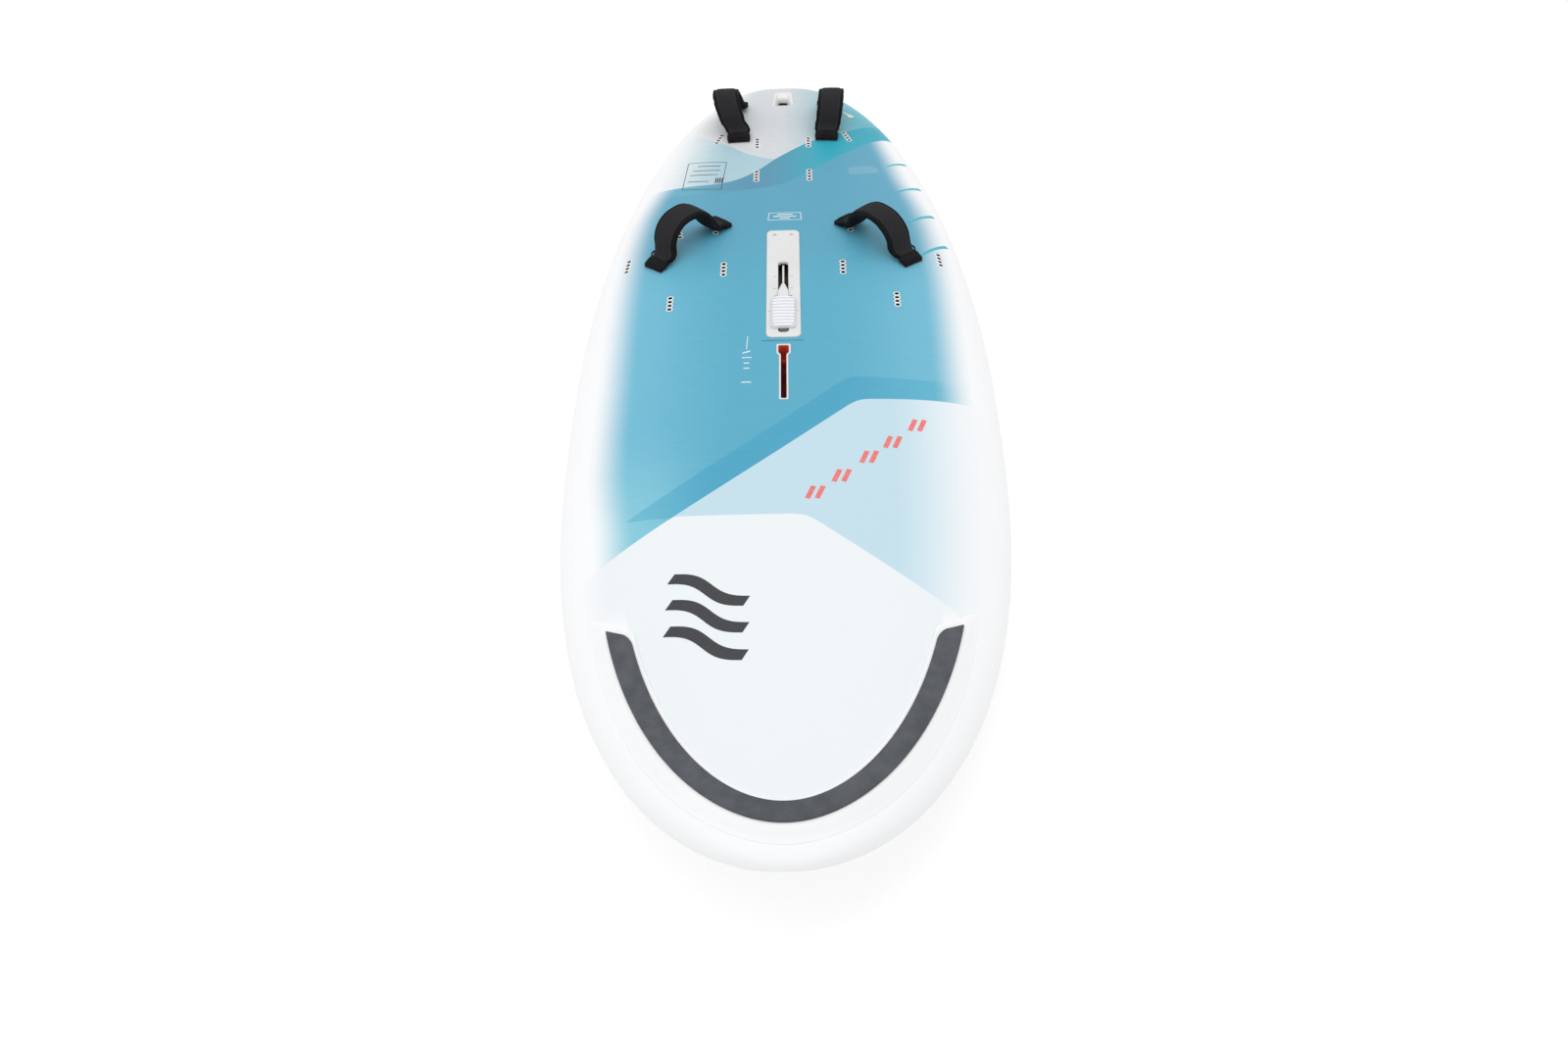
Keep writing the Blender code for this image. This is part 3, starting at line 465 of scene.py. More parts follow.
def deck_paint():
    """Blue airbrushed to white at the rails, a band and panels at the nose, waves at the tail, and a
    painted sheen on the lower left.
    """
    p = Paint("deck_paint", roughness=0.42)
    s = p.calc("ADD", p.y, LENGTH / 2)
    side = p.calc("ABSOLUTE", p.x)

    # distance out to the rail, as a share of the half width there
    ahead = p.calc("DIVIDE", p.calc("MAXIMUM", p.calc("SUBTRACT", WIDEST, s), 0.0), WIDEST)
    behind = p.calc("DIVIDE", p.calc("MAXIMUM", p.calc("SUBTRACT", s, WIDEST), 0.0), LENGTH - WIDEST)
    reach = p.calc("ADD", p.calc("POWER", ahead, PLAN_POWERS[0]),
                   p.calc("POWER", behind, PLAN_POWERS[1]))
    half = p.calc("MULTIPLY", p.calc("SQRT", p.calc("MAXIMUM", p.calc("SUBTRACT", 1.0, reach), 0.001)),
                  WIDTH / 2)
    share = p.calc("DIVIDE", side, half)

    def noseward(edge):
        """1 where this point is nearer the nose than the edge."""
        return p.ramp(p.calc("SUBTRACT", edge, s), -PRINT_EDGE, PRINT_EDGE)

    def aftward(edge):
        return p.calc("SUBTRACT", 1.0, noseward(edge))

    def round_min(one, other, radius=0.030):
        return p.calc("SMOOTH_MIN", one, other, radius)

    blue = p.blend(p.ramp(side, 0.08, 0.32), BLUE_CENTRE, BLUE_SIDE)
    blue = p.blend(p.ramp(s, 1.45, 1.85, 0.0, 0.6), blue, BLUE_TAIL)
    # painted sheen: the deck's lower left, ahead of the band, is made a lighter blue where reflected
    # light falls
    painted_sheen_low_left = p.calc("MULTIPLY", p.ramp(s, 1.05, 0.72), p.ramp(p.x, -0.12, -0.30))
    blue = p.blend(painted_sheen_low_left, blue, PAINTED_SHEEN_BLUE)
    band_edge = round_min(p.line((-0.280, 0.769), (0.120, 1.163)),
                          p.line((0.146, 1.172), (0.349, 1.158)))
    band = p.blend(p.ramp(side, 0.1, 0.32), BAND, BAND_SIDE)
    # the same painted sheen, weaker, over the band
    band = p.blend(p.calc("MULTIPLY", painted_sheen_low_left, 0.35), band, PAINTED_SHEEN_BLUE)
    band_end = p.line((-0.270, 0.761), (-0.100, 0.767))
    body = p.blend(p.calc("MULTIPLY", noseward(band_edge), aftward(band_end)), blue, band)
    inset = p.ramp(s, 1.15, 1.75, 0.045, 0.0)
    inset = p.calc("ADD", inset, p.ramp(s, 0.92, 0.70, 0.0, 0.035))
    inset = p.calc("ADD", inset, p.ramp(s, 1.78, 1.98, 0.0, 0.060))
    fade = p.ramp(p.calc("ADD", share, inset), 0.73, 0.94)
    body = p.blend(fade, body, RAIL_WHITE)

    lower_edge = p.line((-0.317, 0.655), (0.133, 1.0885))
    panel_edge = round_min(lower_edge, 1.1003)
    panel = p.blend(p.ramp(share, 0.45, 0.95), PANEL, RAIL_WHITE)
    body = p.blend(noseward(panel_edge), body, panel)
    from_centre = p.calc("DIVIDE", p.calc("SUBTRACT", U_CENTRE, s), U_CENTRE - U_INNER[1])
    from_middle = p.calc("DIVIDE", side, U_INNER[0])
    round_nose = p.calc("ADD", p.calc("MULTIPLY", from_centre, from_centre),
                        p.calc("MULTIPLY", from_middle, from_middle))
    outside = p.calc("MULTIPLY", p.ramp(round_nose, 0.98, 1.02), p.ramp(s, 0.56, 0.46))
    nose_edge = round_min(round_min(lower_edge, 0.767, 0.012),
                          p.line((0.0542, 0.7521), (0.2725, 0.5314)), 0.035)
    outside = p.calc("MAXIMUM", outside, p.ramp(share, 0.76, 0.93))
    body = p.blend(noseward(nose_edge), body, p.blend(outside, NOSE_WHITE, RAIL_WHITE))

    # waves across the tail
    wave_low = p.curve(((-0.40, 1.99), (-0.30, 1.895), (-0.23, 1.878), (-0.08, 1.890), (0.0, 1.914),
                        (0.08, 1.988), (0.175, 2.082), (0.40, 2.30)), -0.40, 0.40)
    wave_high = p.curve(((-0.40, 1.93), (-0.22, 1.917), (-0.13, 1.927), (-0.08, 1.958),
                         (0.0, 2.052), (0.09, 2.134), (0.15, 2.166), (0.40, 2.42)), -0.40, 0.40)
    pale_high = p.curve(((-0.40, 2.215), (-0.24, 2.185), (-0.15, 2.122), (-0.08, 2.058),
                         (-0.02, 2.032), (0.40, 2.05)), -0.40, 0.40)
    wave = p.blend(p.ramp(p.x, -0.06, 0.12), p.blend(p.ramp(p.x, -0.08, -0.26), WAVE_BLUE, WAVE_SIDE),
                   WAVE_TEAL)
    wave = p.blend(p.calc("MULTIPLY", fade, p.ramp(p.x, 0.1, -0.1)), wave, RAIL_WHITE)
    tail_grey = p.blend(p.ramp(p.x, -0.02, 0.20), TAIL_GREY, TAIL_TEAL)
    light = p.blend(p.calc("MULTIPLY", p.ramp(share, 0.4, 0.92), p.ramp(p.x, 0.1, -0.1)),
                    p.blend(aftward(pale_high), WAVE_PALE, tail_grey), RAIL_WHITE)
    body = p.blend(aftward(wave_low), body, wave)
    body = p.blend(aftward(wave_high), body, light)

    # fine grain across the board, and the tooth of the anti-slip finish
    grain = p.noise(60, 4, stretch=(0.35, 9.0, 1.0))
    blue_only = p.calc("SUBTRACT", 1.0, p.calc("MAXIMUM", noseward(panel_edge), fade))
    fine = p.calc("MULTIPLY", p.ramp(grain, 0.35, 0.75, 0.0, 0.09), blue_only)
    body = p.blend(fine, body, (0.02, 0.10, 0.16))
    tooth = p.noise(1500, 2)
    p.set("Base Color", body)
    p.set("Roughness", p.ramp(tooth, 0.3, 0.7, 0.40, 0.56))
    p.bump(tooth, 0.0004, 0.35)
    return p.material


def moulded(name, colour, roughness=0.42, tooth=0.25, shade=0.90):
    """Moulded plastic: faint mottling and a fine spark-eroded grain."""
    p = Paint(name, roughness=roughness)
    p.set("Base Color", p.mottle(14, colour, shaded(colour, shade), most=0.7))
    grain = p.noise(1800, 2)
    p.set("Roughness", p.ramp(grain, 0.3, 0.7, roughness - 0.05, roughness + 0.08))
    p.bump(grain, 0.0003, tooth)
    return p.material


def eva_foam():
    """Charcoal closed-cell foam with a leathery pebble."""
    p = Paint("eva_foam", roughness=0.85)
    cells = p.node("ShaderNodeTexVoronoi", p.where).outputs["Distance"]
    cells.node.inputs["Scale"].default_value = 520
    p.set("Base Color", p.mottle(35, (0.062, 0.068, 0.077), (0.088, 0.096, 0.108), high=0.75, detail=4))
    p.set("Roughness", p.ramp(cells, 0.1, 0.6, 0.92, 0.72))
    p.bump(cells, 0.0009, 0.6)
    return p.material


def track_plastic():
    """Dark red moulded plastic, streaked along the slot, brighter at its lit aft end."""
    p = Paint("track_red", roughness=0.65)
    p.set("Specular IOR Level", DULL_SPECULAR)
    streak = p.noise(60, 4, stretch=(6.0, 0.5, 2.0))
    slot = p.blend(p.ramp(streak, 0.35, 0.65), (0.210, 0.009, 0.010), (0.075, 0.004, 0.005))
    lit = p.calc("MAXIMUM", p.ramp(p.y, along(TRACK_AFT - 0.014), along(TRACK_AFT - 0.002)),
                 p.ramp(p.y, along(TRACK_FRONT + 0.012), along(TRACK_FRONT), 0.0, 0.35))
    p.set("Base Color", p.blend(lit, slot, (0.86, 0.085, 0.035)))
    p.bump(streak, 0.0004, 0.3)
    return p.material


def neoprene():
    """Matt black knit."""
    p = Paint("strap_neoprene", roughness=0.78)
    p.set("Base Color", p.mottle(24, (0.005, 0.005, 0.006), (0.010, 0.010, 0.012), high=0.75))
    p.set("Specular IOR Level", DULL_SPECULAR)
    p.bump(p.noise(900), 0.0006, 0.5)
    return p.material


def woven(name, colour):
    """Webbing: a diagonal weave."""
    p = Paint(name, colour, roughness=0.8)
    p.set("Specular IOR Level", DULL_SPECULAR)
    threads = [p.calc("SINE", p.calc("MULTIPLY", p.calc(operation, p.y, p.x), 2 * pi / WEAVE_PITCH))
               for operation in ("ADD", "SUBTRACT")]
    weave = p.calc("MULTIPLY", *threads)
    p.set("Base Color", p.blend(p.ramp(weave, -0.4, 0.8), colour, shaded(colour, 1.8)))
    p.bump(weave, 0.0004, 0.6)
    return p.material


def steel():
    p = Paint("steel", (0.60, 0.61, 0.63), roughness=0.28, metallic=1.0)
    scratch = p.noise(700, 3, stretch=(1, 0.15, 1))
    p.set("Roughness", p.ramp(scratch, 0.3, 0.7, 0.20, 0.40))
    p.bump(scratch, 0.0001, 0.2)
    return p.material


def gel_coat():
    """Smooth white hull: gloss with a slow orange-peel ripple."""
    p = Paint("hull_white", roughness=0.30)
    p.set("Base Color", p.mottle(5, RAIL_WHITE, (0.80, 0.812, 0.826), most=0.6))
    p.set("Roughness", p.ramp(p.noise(60), 0.3, 0.7, 0.27, 0.36))
    p.bump(p.noise(90, 2), 0.0002, 0.03)
    return p.material


def plain(name, colour, roughness):
    """A printed or rubbery surface with a slight unevenness."""
    p = Paint(name, roughness=roughness)
    p.set("Base Color", p.mottle(120, colour, shaded(colour, 0.85), low=0.35, high=0.75))
    p.grain(1200, 0.25)
    return p.material


def plug_plastic():
    """White plug tops over screw holes, with painted shade that makes the holes dark below their rims."""
    p = Paint("plug_white", roughness=0.40)
    along_row = p.calc("SUBTRACT", p.calc("WRAP", p.y, PLUG_PITCH, 0.0), PLUG_PITCH / 2)
    off = p.calc("SQRT", p.calc("ADD", p.calc("MULTIPLY", p.x, p.x),
                                p.calc("MULTIPLY", along_row, along_row)))
    # painted shade: the hole walls below the rims are made near black
    inside = p.calc("MULTIPLY", p.ramp(off, PLUG_HOLE + 0.0003, PLUG_HOLE + 0.0001),
                    p.ramp(p.z, -0.0012, -0.0018))
    top = p.mottle(90, (0.93, 0.93, 0.93), (0.88, 0.88, 0.88))
    p.set("Base Color", p.blend(inside, top, (0.014, 0.008, 0.008)))
    p.grain(1800)
    return p.material


def cup_plastic():
    """White plastic cup with painted shade that darkens down its wall, and painted shadow that makes its
    bolt slot dark inside.
    """
    p = Paint("bolt_cup", roughness=0.35)
    height = p.calc("MULTIPLY_ADD", p.y, CUP_SLOPE, p.calc("ADD", p.z, -CUP_SLOPE * along(CUP[0][1])))
    wall = p.mottle(20, (0.84, 0.84, 0.835), (0.78, 0.78, 0.775))
    # painted shade: the wall greys towards the bottom of the cup
    wall = p.blend(p.ramp(height, 0.0875, 0.0790), wall, (0.36, 0.35, 0.34))
    # painted shadow: near black at the bottom, round the bolt slot
    p.set("Base Color", p.blend(p.ramp(height, 0.0778, 0.0764), wall, (0.020, 0.014, 0.012)))
    p.grain()
    return p.material


def pedal_plastic():
    """Bluish white plastic, with painted shade that makes it darker down in the grooves between the ribs.
    """
    p = Paint("pedal_white", roughness=0.38)
    crest = PEDAL_FACE + PEDAL_CREST
    # painted shade: the grooves between the ribs are made darker
    groove = p.calc("MULTIPLY", p.ramp(p.z, crest - 0.0002, crest - 0.0013),
                    p.ramp(p.z, PEDAL_FACE + 0.0006, PEDAL_FACE + 0.0012))
    ribs = p.mottle(60, (0.84, 0.85, 0.90), (0.79, 0.80, 0.85))
    p.set("Base Color", p.blend(groove, ribs, (0.50, 0.53, 0.57)))
    p.grain()
    return p.material


def floor_paint():
    """Pale studio floor, lit from within a little so that shadows on it stay faint."""
    p = Paint("studio_floor", (FLOOR_ALBEDO, FLOOR_ALBEDO, FLOOR_ALBEDO), roughness=0.9)
    p.set("Emission Color", (1.0, 1.0, 1.0, 1.0))
    p.set("Emission Strength", FLOOR_GLOW)
    return p.material


PAINTS = {
    "deck_paint": deck_paint(),
    "hull_white": gel_coat(),
    "foam": plain("foam", (0.82, 0.80, 0.74), 0.9),
    "eva_foam": eva_foam(),
    "track_red": track_plastic(),
    "white_plastic": moulded("white_plastic", WHITE),
    "blade_white": moulded("blade_white", (0.82, 0.83, 0.84), 0.30, 0.1),
    "plug_white": plug_plastic(),
    "steel": steel(),
    "seal_rubber": plain("seal_rubber", (0.018, 0.018, 0.020), 0.75),
    "webbing": woven("webbing", (0.014, 0.014, 0.016)),
    "strap_neoprene": neoprene(),
}
CORAL_PRINT = plain("coral_print", CORAL, 0.45)
DARK_PRINT = plain("dark_print", CHARCOAL, 0.50)
WHITE_PRINT = plain("white_print", (0.80, 0.86, 0.88), 0.45)
TURQUOISE_PRINT = plain("turquoise_print", TURQUOISE, 0.42)
GREY_PRINT = plain("grey_print", (0.17, 0.16, 0.15), 0.50)
GASKET_PAINT = plain("gasket", (0.016, 0.011, 0.008), 0.60)
SOLE_PAINT = plain("strap_sole", (0.080, 0.022, 0.014), 0.75)
THREAD_PAINT = plain("strap_thread", (0.055, 0.055, 0.060), 0.70)
FACING_PAINT = woven("strap_facing", (0.0165, 0.0160, 0.0175))
BINDING_PAINT = woven("strap_binding", (0.006, 0.006, 0.007))
PEDAL_PAINT = pedal_plastic()
CUP_PAINT = cup_plastic()
MOULDING_PAINT = moulded("nose_moulding", RAIL_WHITE, 0.40, 0.08, 0.975)


# ---- mesh tools
def linked(name, data):
    """A new object in the scene."""
    thing = bpy.data.objects.new(name, data)
    bpy.context.scene.collection.objects.link(thing)
    return thing


def painted(mesh, paint):
    mesh.materials.clear()
    mesh.materials.append(paint)


def place(mesh, name, slot, body="board", paint=None, stand=None):
    """An object that rides on a body and takes its finish from a record slot."""
    piece = linked(name, mesh)
    if stand is not None:
        piece.matrix_world = stand
    painted(mesh, paint or PAINTS[slot])
    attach(piece, body)
    return piece


def close(bm, name, sharp=35):
    bmesh.ops.remove_doubles(bm, verts=bm.verts, dist=1e-6)
    bmesh.ops.dissolve_degenerate(bm, edges=bm.edges, dist=1e-6)
    bmesh.ops.recalc_face_normals(bm, faces=bm.faces)
    mesh = bpy.data.meshes.new(name)
    bm.to_mesh(mesh)
    bm.free()
    mesh.shade_smooth()
    mesh.set_sharp_from_angle(angle=radians(sharp))
    return mesh


def loft(name, rings, looped=False, sharp=35):
    """A skin over closed rings of points, capped at both ends or joined end to end."""
    bm = bmesh.new()
    rows = [[bm.verts.new(point) for point in ring] for ring in rings]
    following = rows[1:] + rows[:1] if looped else rows[1:]
    for low, high in zip(rows, following):
        for k in range(len(low)):
            after = (k + 1) % len(low)
            bm.faces.new((low[k], low[after], high[after], high[k]))
    if not looped:
        bm.faces.new(list(reversed(rows[0])))
        bm.faces.new(rows[-1])
    return close(bm, name, sharp)


def levels(name, layers, sharp=35):
    """A solid from flat outlines, each at its own height."""
    return loft(name, [[(x, y, z) for x, y in outline] for outline, z in layers], sharp=sharp)


def window(name, outline, low, high):
    """A straight cutter."""
    return levels(name, [(outline, low), (outline, high)])


def merged(name, meshes, sharp=35):
    """Several closed meshes in one."""
    bm = bmesh.new()
    for mesh in meshes:
        bm.from_mesh(mesh)
        bpy.data.meshes.remove(mesh)
    return close(bm, name, sharp)


def moved(mesh, matrix):
    mesh.transform(matrix)
    return mesh


def circle(count):
    return [2 * pi * k / count for k in range(count)]


def rounded_box(half_x, y_low, y_high, radius, steps=8):
    """An outline centred on x = 0, from y_low to y_high."""
    corners = ((half_x - radius, y_high - radius, 0), (radius - half_x, y_high - radius, 90),
               (radius - half_x, y_low + radius, 180), (half_x - radius, y_low + radius, 270))
    outline = []
    for x, y, start in corners:
        for k in range(steps + 1):
            angle = radians(start + 90 * k / steps)
            outline.append((x + radius * cos(angle), y + radius * sin(angle)))
    return outline


def rounded(points, radius, steps=6):
    """An outline with each corner eased by a curve that starts a radius before it."""
    outline = []
    for k, corner in enumerate(points):
        here = Vector(corner)
        before = Vector(points[k - 1]) - here
        after = Vector(points[(k + 1) % len(points)]) - here
        start = here + before.normalized() * min(radius, before.length * 0.49)
        end = here + after.normalized() * min(radius, after.length * 0.49)
        for j in range(steps + 1):
            t = j / steps
            spot = start * (1 - t) ** 2 + here * (2 * t * (1 - t)) + end * t ** 2
            outline.append((spot.x, spot.y))
    return outline


def block(name, x_range, from_nose_range, z_range, radius=0.0008):
    """A box with rounded corners in plan and eased edges above and below."""
    x_low, x_high = x_range
    y_low, y_high = (along(value) for value in from_nose_range)
    ease = radius * 0.6
    low, high = z_range
    layers = []
    for inset, z in ((ease, low), (0, low + ease), (0, high - ease), (ease, high)):
        outline = rounded_box((x_high - x_low) / 2 - inset, y_low + inset, y_high - inset, radius, 3)
        layers.append(([(x + (x_low + x_high) / 2, y) for x, y in outline], z))
    return levels(name, layers)


def rod(name, radius, low, high, sides=28):
    bm = bmesh.new()
    bmesh.ops.create_cone(bm, cap_ends=True, segments=sides, radius1=radius, radius2=radius,
                          depth=high - low)
    bmesh.ops.translate(bm, vec=(0, 0, (low + high) / 2), verts=bm.verts)
    return close(bm, name)


def turned(name, profile):
    """A turned shape: the profile's (radius, height) points run from the axis to the axis."""
    rings = []
    for radius, height in profile:
        radius = max(radius, 2e-5)
        rings.append([(radius * cos(angle), radius * sin(angle), height) for angle in circle(32)])
    return loft(name, rings)


def cad_mesh(node):
    """A copy of a CAD node's mesh, welded and with its flat faces whole again."""
    mesh = frame["nodes"][node].data.copy()
    bm = bmesh.new()
    bm.from_mesh(mesh)
    bmesh.ops.remove_doubles(bm, verts=bm.verts, dist=1e-6)
    bmesh.ops.dissolve_limit(bm, angle_limit=radians(1), verts=bm.verts, edges=bm.edges)
    bm.to_mesh(mesh)
    bm.free()
    return mesh


def applied(piece):
    """Bakes a piece's modifiers into its mesh."""
    depsgraph = bpy.context.evaluated_depsgraph_get()
    mesh = bpy.data.meshes.new_from_object(piece.evaluated_get(depsgraph))
    old = piece.data
    piece.modifiers.clear()
    piece.data = mesh
    bpy.data.meshes.remove(old)
    return piece


def taken(thing):
    """The thing's mesh, without the thing."""
    mesh = thing.data
    bpy.data.objects.remove(thing)
    return mesh


def carved(piece, mesh, operation="DIFFERENCE"):
    """The piece less a mesh, or joined with it.  The mesh is used up."""
    tool = linked("tool", mesh)
    step = piece.modifiers.new("carve", "BOOLEAN")
    step.object = tool
    step.operation = operation
    step.solver = "EXACT"
    applied(piece)
    bpy.data.objects.remove(tool)
    bpy.data.meshes.remove(mesh)
    return piece


def smoothed(piece, sharp):
    piece.data.shade_smooth()
    piece.data.set_sharp_from_angle(angle=radians(sharp))


def eased(piece, width):
    """Rounded edges, with flat faces kept flat to the eye."""
    bevel = piece.modifiers.new("edges", "BEVEL")
    bevel.width = width
    bevel.segments = 2
    bevel.limit_method = "ANGLE"
    bevel.angle_limit = radians(30)
    bevel.use_clamp_overlap = True
    applied(piece)
    smoothed(piece, 50)
    weigh = piece.modifiers.new("normals", "WEIGHTED_NORMAL")
    weigh.keep_sharp = True
    return applied(piece)


def softened(node, slot):
    """The CAD node's shape with rounded edges, shown in the node's place."""
    piece = eased(place(cad_mesh(node), node + "_finished", slot), EASED_EDGE)
    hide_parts(node)


# ---- hull
def hull_shell(name, upper, slot, node, holes):
    seam = SEAM if upper else 0.0
    rings = []
    for from_nose in station_list():
        outside = section(from_nose, 0.0, upper, seam)
        inside = section(from_nose, SKIN, upper, seam)
        rings.append(outside + inside[::-1])
    shell = place(loft(name, rings, looped=True, sharp=60), name, slot)
    carved(shell, merged(name + "_holes", holes))
    smoothed(shell, 60)
    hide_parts(node)
    return shell


def deck_fullness(spot):
    """1 on the deck's outside, more outside it."""
    from_nose = min(max(spot.y + LENGTH / 2, 0.001), LENGTH - 0.001)
    across = abs(spot.x) / half_width(from_nose)
    up = (spot.z - rail_line(from_nose) - SEAM) / deck_rise(from_nose)
    return across ** DECK_CAMBER + up ** 2


def smooth_deck_shading(shell):
    """Gives the deck's outside the normals of its formula, so that the holes leave no creases."""
    mesh = shell.data
    step = 0.0004
    steps = [Vector((step, 0, 0)), Vector((0, step, 0)), Vector((0, 0, step))]
    formula = {}
    for vertex in mesh.vertices:
        from_nose = vertex.co.y + LENGTH / 2
        inboard = abs(vertex.co.x) < 0.93 * half_width(from_nose)
        if inboard and 0.10 < from_nose < LENGTH - 0.06:
            grow = [deck_fullness(vertex.co + move) - deck_fullness(vertex.co - move)
                    for move in steps]
            formula[vertex.index] = Vector(grow).normalized()
    normals = [Vector(corner.vector) for corner in mesh.corner_normals]
    for face in mesh.polygons:
        for corner in face.loop_indices:
            normal = formula.get(mesh.loops[corner].vertex_index)
            if normal is not None and normal.dot(face.normal) > 0.9:
                normals[corner] = normal
    mesh.normals_split_custom_set(normals)


def u_point(ellipse, share):
    half, tip, end_angle = ellipse
    angle = end_angle * share
    return half * sin(angle), U_CENTRE - (U_CENTRE - tip) * cos(angle)


def u_sweep(name, profile, end_shape, reach=1.0, sharp=40):
    """Sweeps (edge, offset, lift) points along the nose bumper, closer together at its ends.

    end_shape(left) gives (inset of the inner edge, share of the lift) at a distance from the end.
    """
    length = 2 * U_OUTER[0] * U_OUTER[2] * 1.25
    rings = []
    for k in range(U_STEPS + 1):
        share = reach * sin(pi / 2 * (2 * k / U_STEPS - 1))
        inset, full = end_shape((reach - abs(share)) * length / 2)
        inner = Vector(u_point(U_INNER, share))
        outer = Vector(u_point(U_OUTER, share))
        run = (outer - inner).normalized()
        ring = []
        for where, offset, lift in profile:
            spot = inner + run * (offset + inset) if where == "in" else outer + run * offset
            up = lift * full if lift > 0 else lift
            ring.append((spot.x, along(spot.y), deck_height(spot.x, spot.y) + up))
        rings.append(ring)
    return loft(name, rings, sharp=sharp)


def nose_moulding():
    """The raised white band under the foam strip: a lip inside and round the strip's ends."""
    top = RIDGE_HEIGHT
    profile = [("in", offset - RIDGE_LIP, lift) for offset, lift in
               ((-0.0016, -SUNK), (-0.0006, top * 0.18), (0.0004, top * 0.55), (0.0018, top * 0.86),
                (0.0042, top))]
    profile += [("in", -0.0010, top), ("out", 0.0010, top)]
    for k in range(1, 13):
        share = k / 12
        fall = share * share * (3 - 2 * share)
        profile.append(("out", 0.001 + RIDGE_SLOPE * share, top * (1 - fall) * 0.98 + 0.0004))
    profile.append(("out", RIDGE_SLOPE + 0.0020, -SUNK))

    def run_out(left):
        return 0.0, min(1.0, (left / 0.010) ** 0.5)

    band = u_sweep("nose_moulding", profile, reach=1.045, end_shape=run_out, sharp=70)
    place(band, "nose_moulding", "deck_paint", paint=MOULDING_PAINT)


def nose_strip():
    low = RIDGE_HEIGHT + 0.0003
    high = low + PAD_THICKNESS
    ease = PAD_EASE
    rim = ((0.0, low), (0.0, high - ease), (ease * 0.35, high - ease * 0.35), (ease, high))
    profile = [("in", offset, lift) for offset, lift in rim]
    profile += [("out", -offset, lift) for offset, lift in reversed(rim)]

    def round_corner(left):
        short = max(0.0, PAD_CORNER - left)
        return PAD_CORNER - sqrt(PAD_CORNER ** 2 - short ** 2), 1.0

    strip = place(u_sweep("nose_strip", profile, end_shape=round_corner), "nose_strip", "eva_foam")
    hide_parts("nose_pad")


# ---- mast track
def keyhole(grow):
    """The slot and its wide entry, as one outline."""
    slot = TRACK_SLOT / 2 + grow
    entry = TRACK_ENTRY / 2 + grow
    front = along(TRACK_FRONT) - grow
    shoulder = along(TRACK_SHOULDER) - grow / 2
    aft = along(TRACK_AFT) + grow
    corners = [(slot, front), (slot, shoulder), (entry, shoulder + 0.005), (entry, aft),
               (-entry, aft), (-entry, shoulder + 0.005), (-slot, shoulder), (-slot, front)]
    return rounded(corners, TRACK_EASE)


def track_ring(name, layers, slot):
    rings = [[(x, y, z) for x, y in keyhole(grow)] for grow, z in layers]
    return place(loft(name, rings, looped=True), name, slot)


def track_rim():
    """A white rim in the deck and a red liner below it."""
    low, top = TRACK_RIM_HEIGHTS
    rim = track_ring("track_rim", ((TRACK_RIM, low), (TRACK_RIM, top - 0.0007),
                                   (TRACK_RIM - 0.0003, top - 0.0002), (TRACK_RIM - 0.0010, top),
                                   (0.0008, top), (0.0002, top - 0.0004), (0.0, low)), "white_plastic")
    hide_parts("mast_track_rim")
    low, top = TRACK_LINER_HEIGHTS
    track_ring("track_liner", ((TRACK_RIM, low), (TRACK_RIM, top), (0.0001, top), (0.0001, low)),
               "track_red")


# ---- daggerboard fittings
def slot_outline(grow):
    return rounded_box(PLATE_SLOT[0] / 2 + grow, along(PLATE_SLOT[1]) - grow,
                       along(PLATE_SLOT[2]) + grow, 0.008 + grow)


def plate_outline(grow):
    return rounded_box(PLATE[0] / 2 + grow, along(PLATE[1]) - grow, along(PLATE[2]) + grow,
                       PLATE_CORNER + grow, 10)


def screw_places():
    for side, tag in SIDES:
        yield tag, Matrix.Translation((side * SCREWS_AT[0], along(SCREWS_AT[1]), PLATE_TOP))


def cover_plate():
    layers = [(plate_outline(-inset), PLATE_TOP - drop)
              for inset, drop in ((0, 0.006), (0, 0.0014), (0.0004, 0.0006), (0.0014, 0))]
    plate = place(levels("cover_plate", layers), "cover_plate", "white_plastic")
    carved(plate, levels("slot", [(slot_outline(0.0), 0.10), (slot_outline(0.0), PLATE_TOP - 0.0010),
                                  (slot_outline(0.0008), PLATE_TOP + 0.0001),
                                  (slot_outline(0.0008), 0.14)]))
    for radius, low, high in ((0.0040, -0.0022, 0.01), (0.0022, -0.01, -0.002)):
        holes = [moved(rod("hole", radius, low, high), spot) for tag, spot in screw_places()]
        carved(plate, merged("holes", holes))
    plate.data.set_sharp_from_angle(angle=radians(30))
    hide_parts("daggerboard_cover")

    ticks = []
    for side in (-1, 1):
        for inner, outer, from_nose in TICKS:
            ticks.append(block("tick", sorted((side * inner, side * outer)),
                               (from_nose - 0.0007, from_nose + 0.0007),
                               (PLATE_TOP - 0.0002, PLATE_TOP + 0.00012), 0.0003))
    place(merged("cover_ticks", ticks), "cover_ticks", "white_plastic", paint=GREY_PRINT)


def gaskets():
    """Dark rubber below the cover's slot, clear of the fork and the blade's crank."""
    meshes = [block("gasket", (-GASKET_HALF, GASKET_HALF), span, GASKET_HEIGHTS, 0.001)
              for span in GASKETS]
    place(merged("slot_gaskets", meshes), "slot_gaskets", "seal_rubber", paint=GASKET_PAINT)


def cover_screws():
    for tag, spot in screw_places():
        screw = place(turned("screw", SCREW_PROFILE), "cover_screw_" + tag + "_finished", "steel",
                      stand=spot)
        carved(screw, cross_recess(0.0017, -0.0013))
        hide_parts("cover_screw_" + tag)


def cross_recess(reach, depth):
    """A cross for cutting a screw's head, tapered downwards."""
    pair = []
    for x, y, low, high in ((reach, reach * 0.24, depth, 0.002),
                            (reach * 0.24, reach, depth * 0.999, 0.0021)):
        outline = [(x, y), (-x, y), (-x, -y), (x, -y)]
        pair.append(levels("bar", [([(a * 0.6, b * 0.6) for a, b in outline], low), (outline, high)]))
    return taken(carved(linked("bar", pair[0]), pair[1], "UNION"))


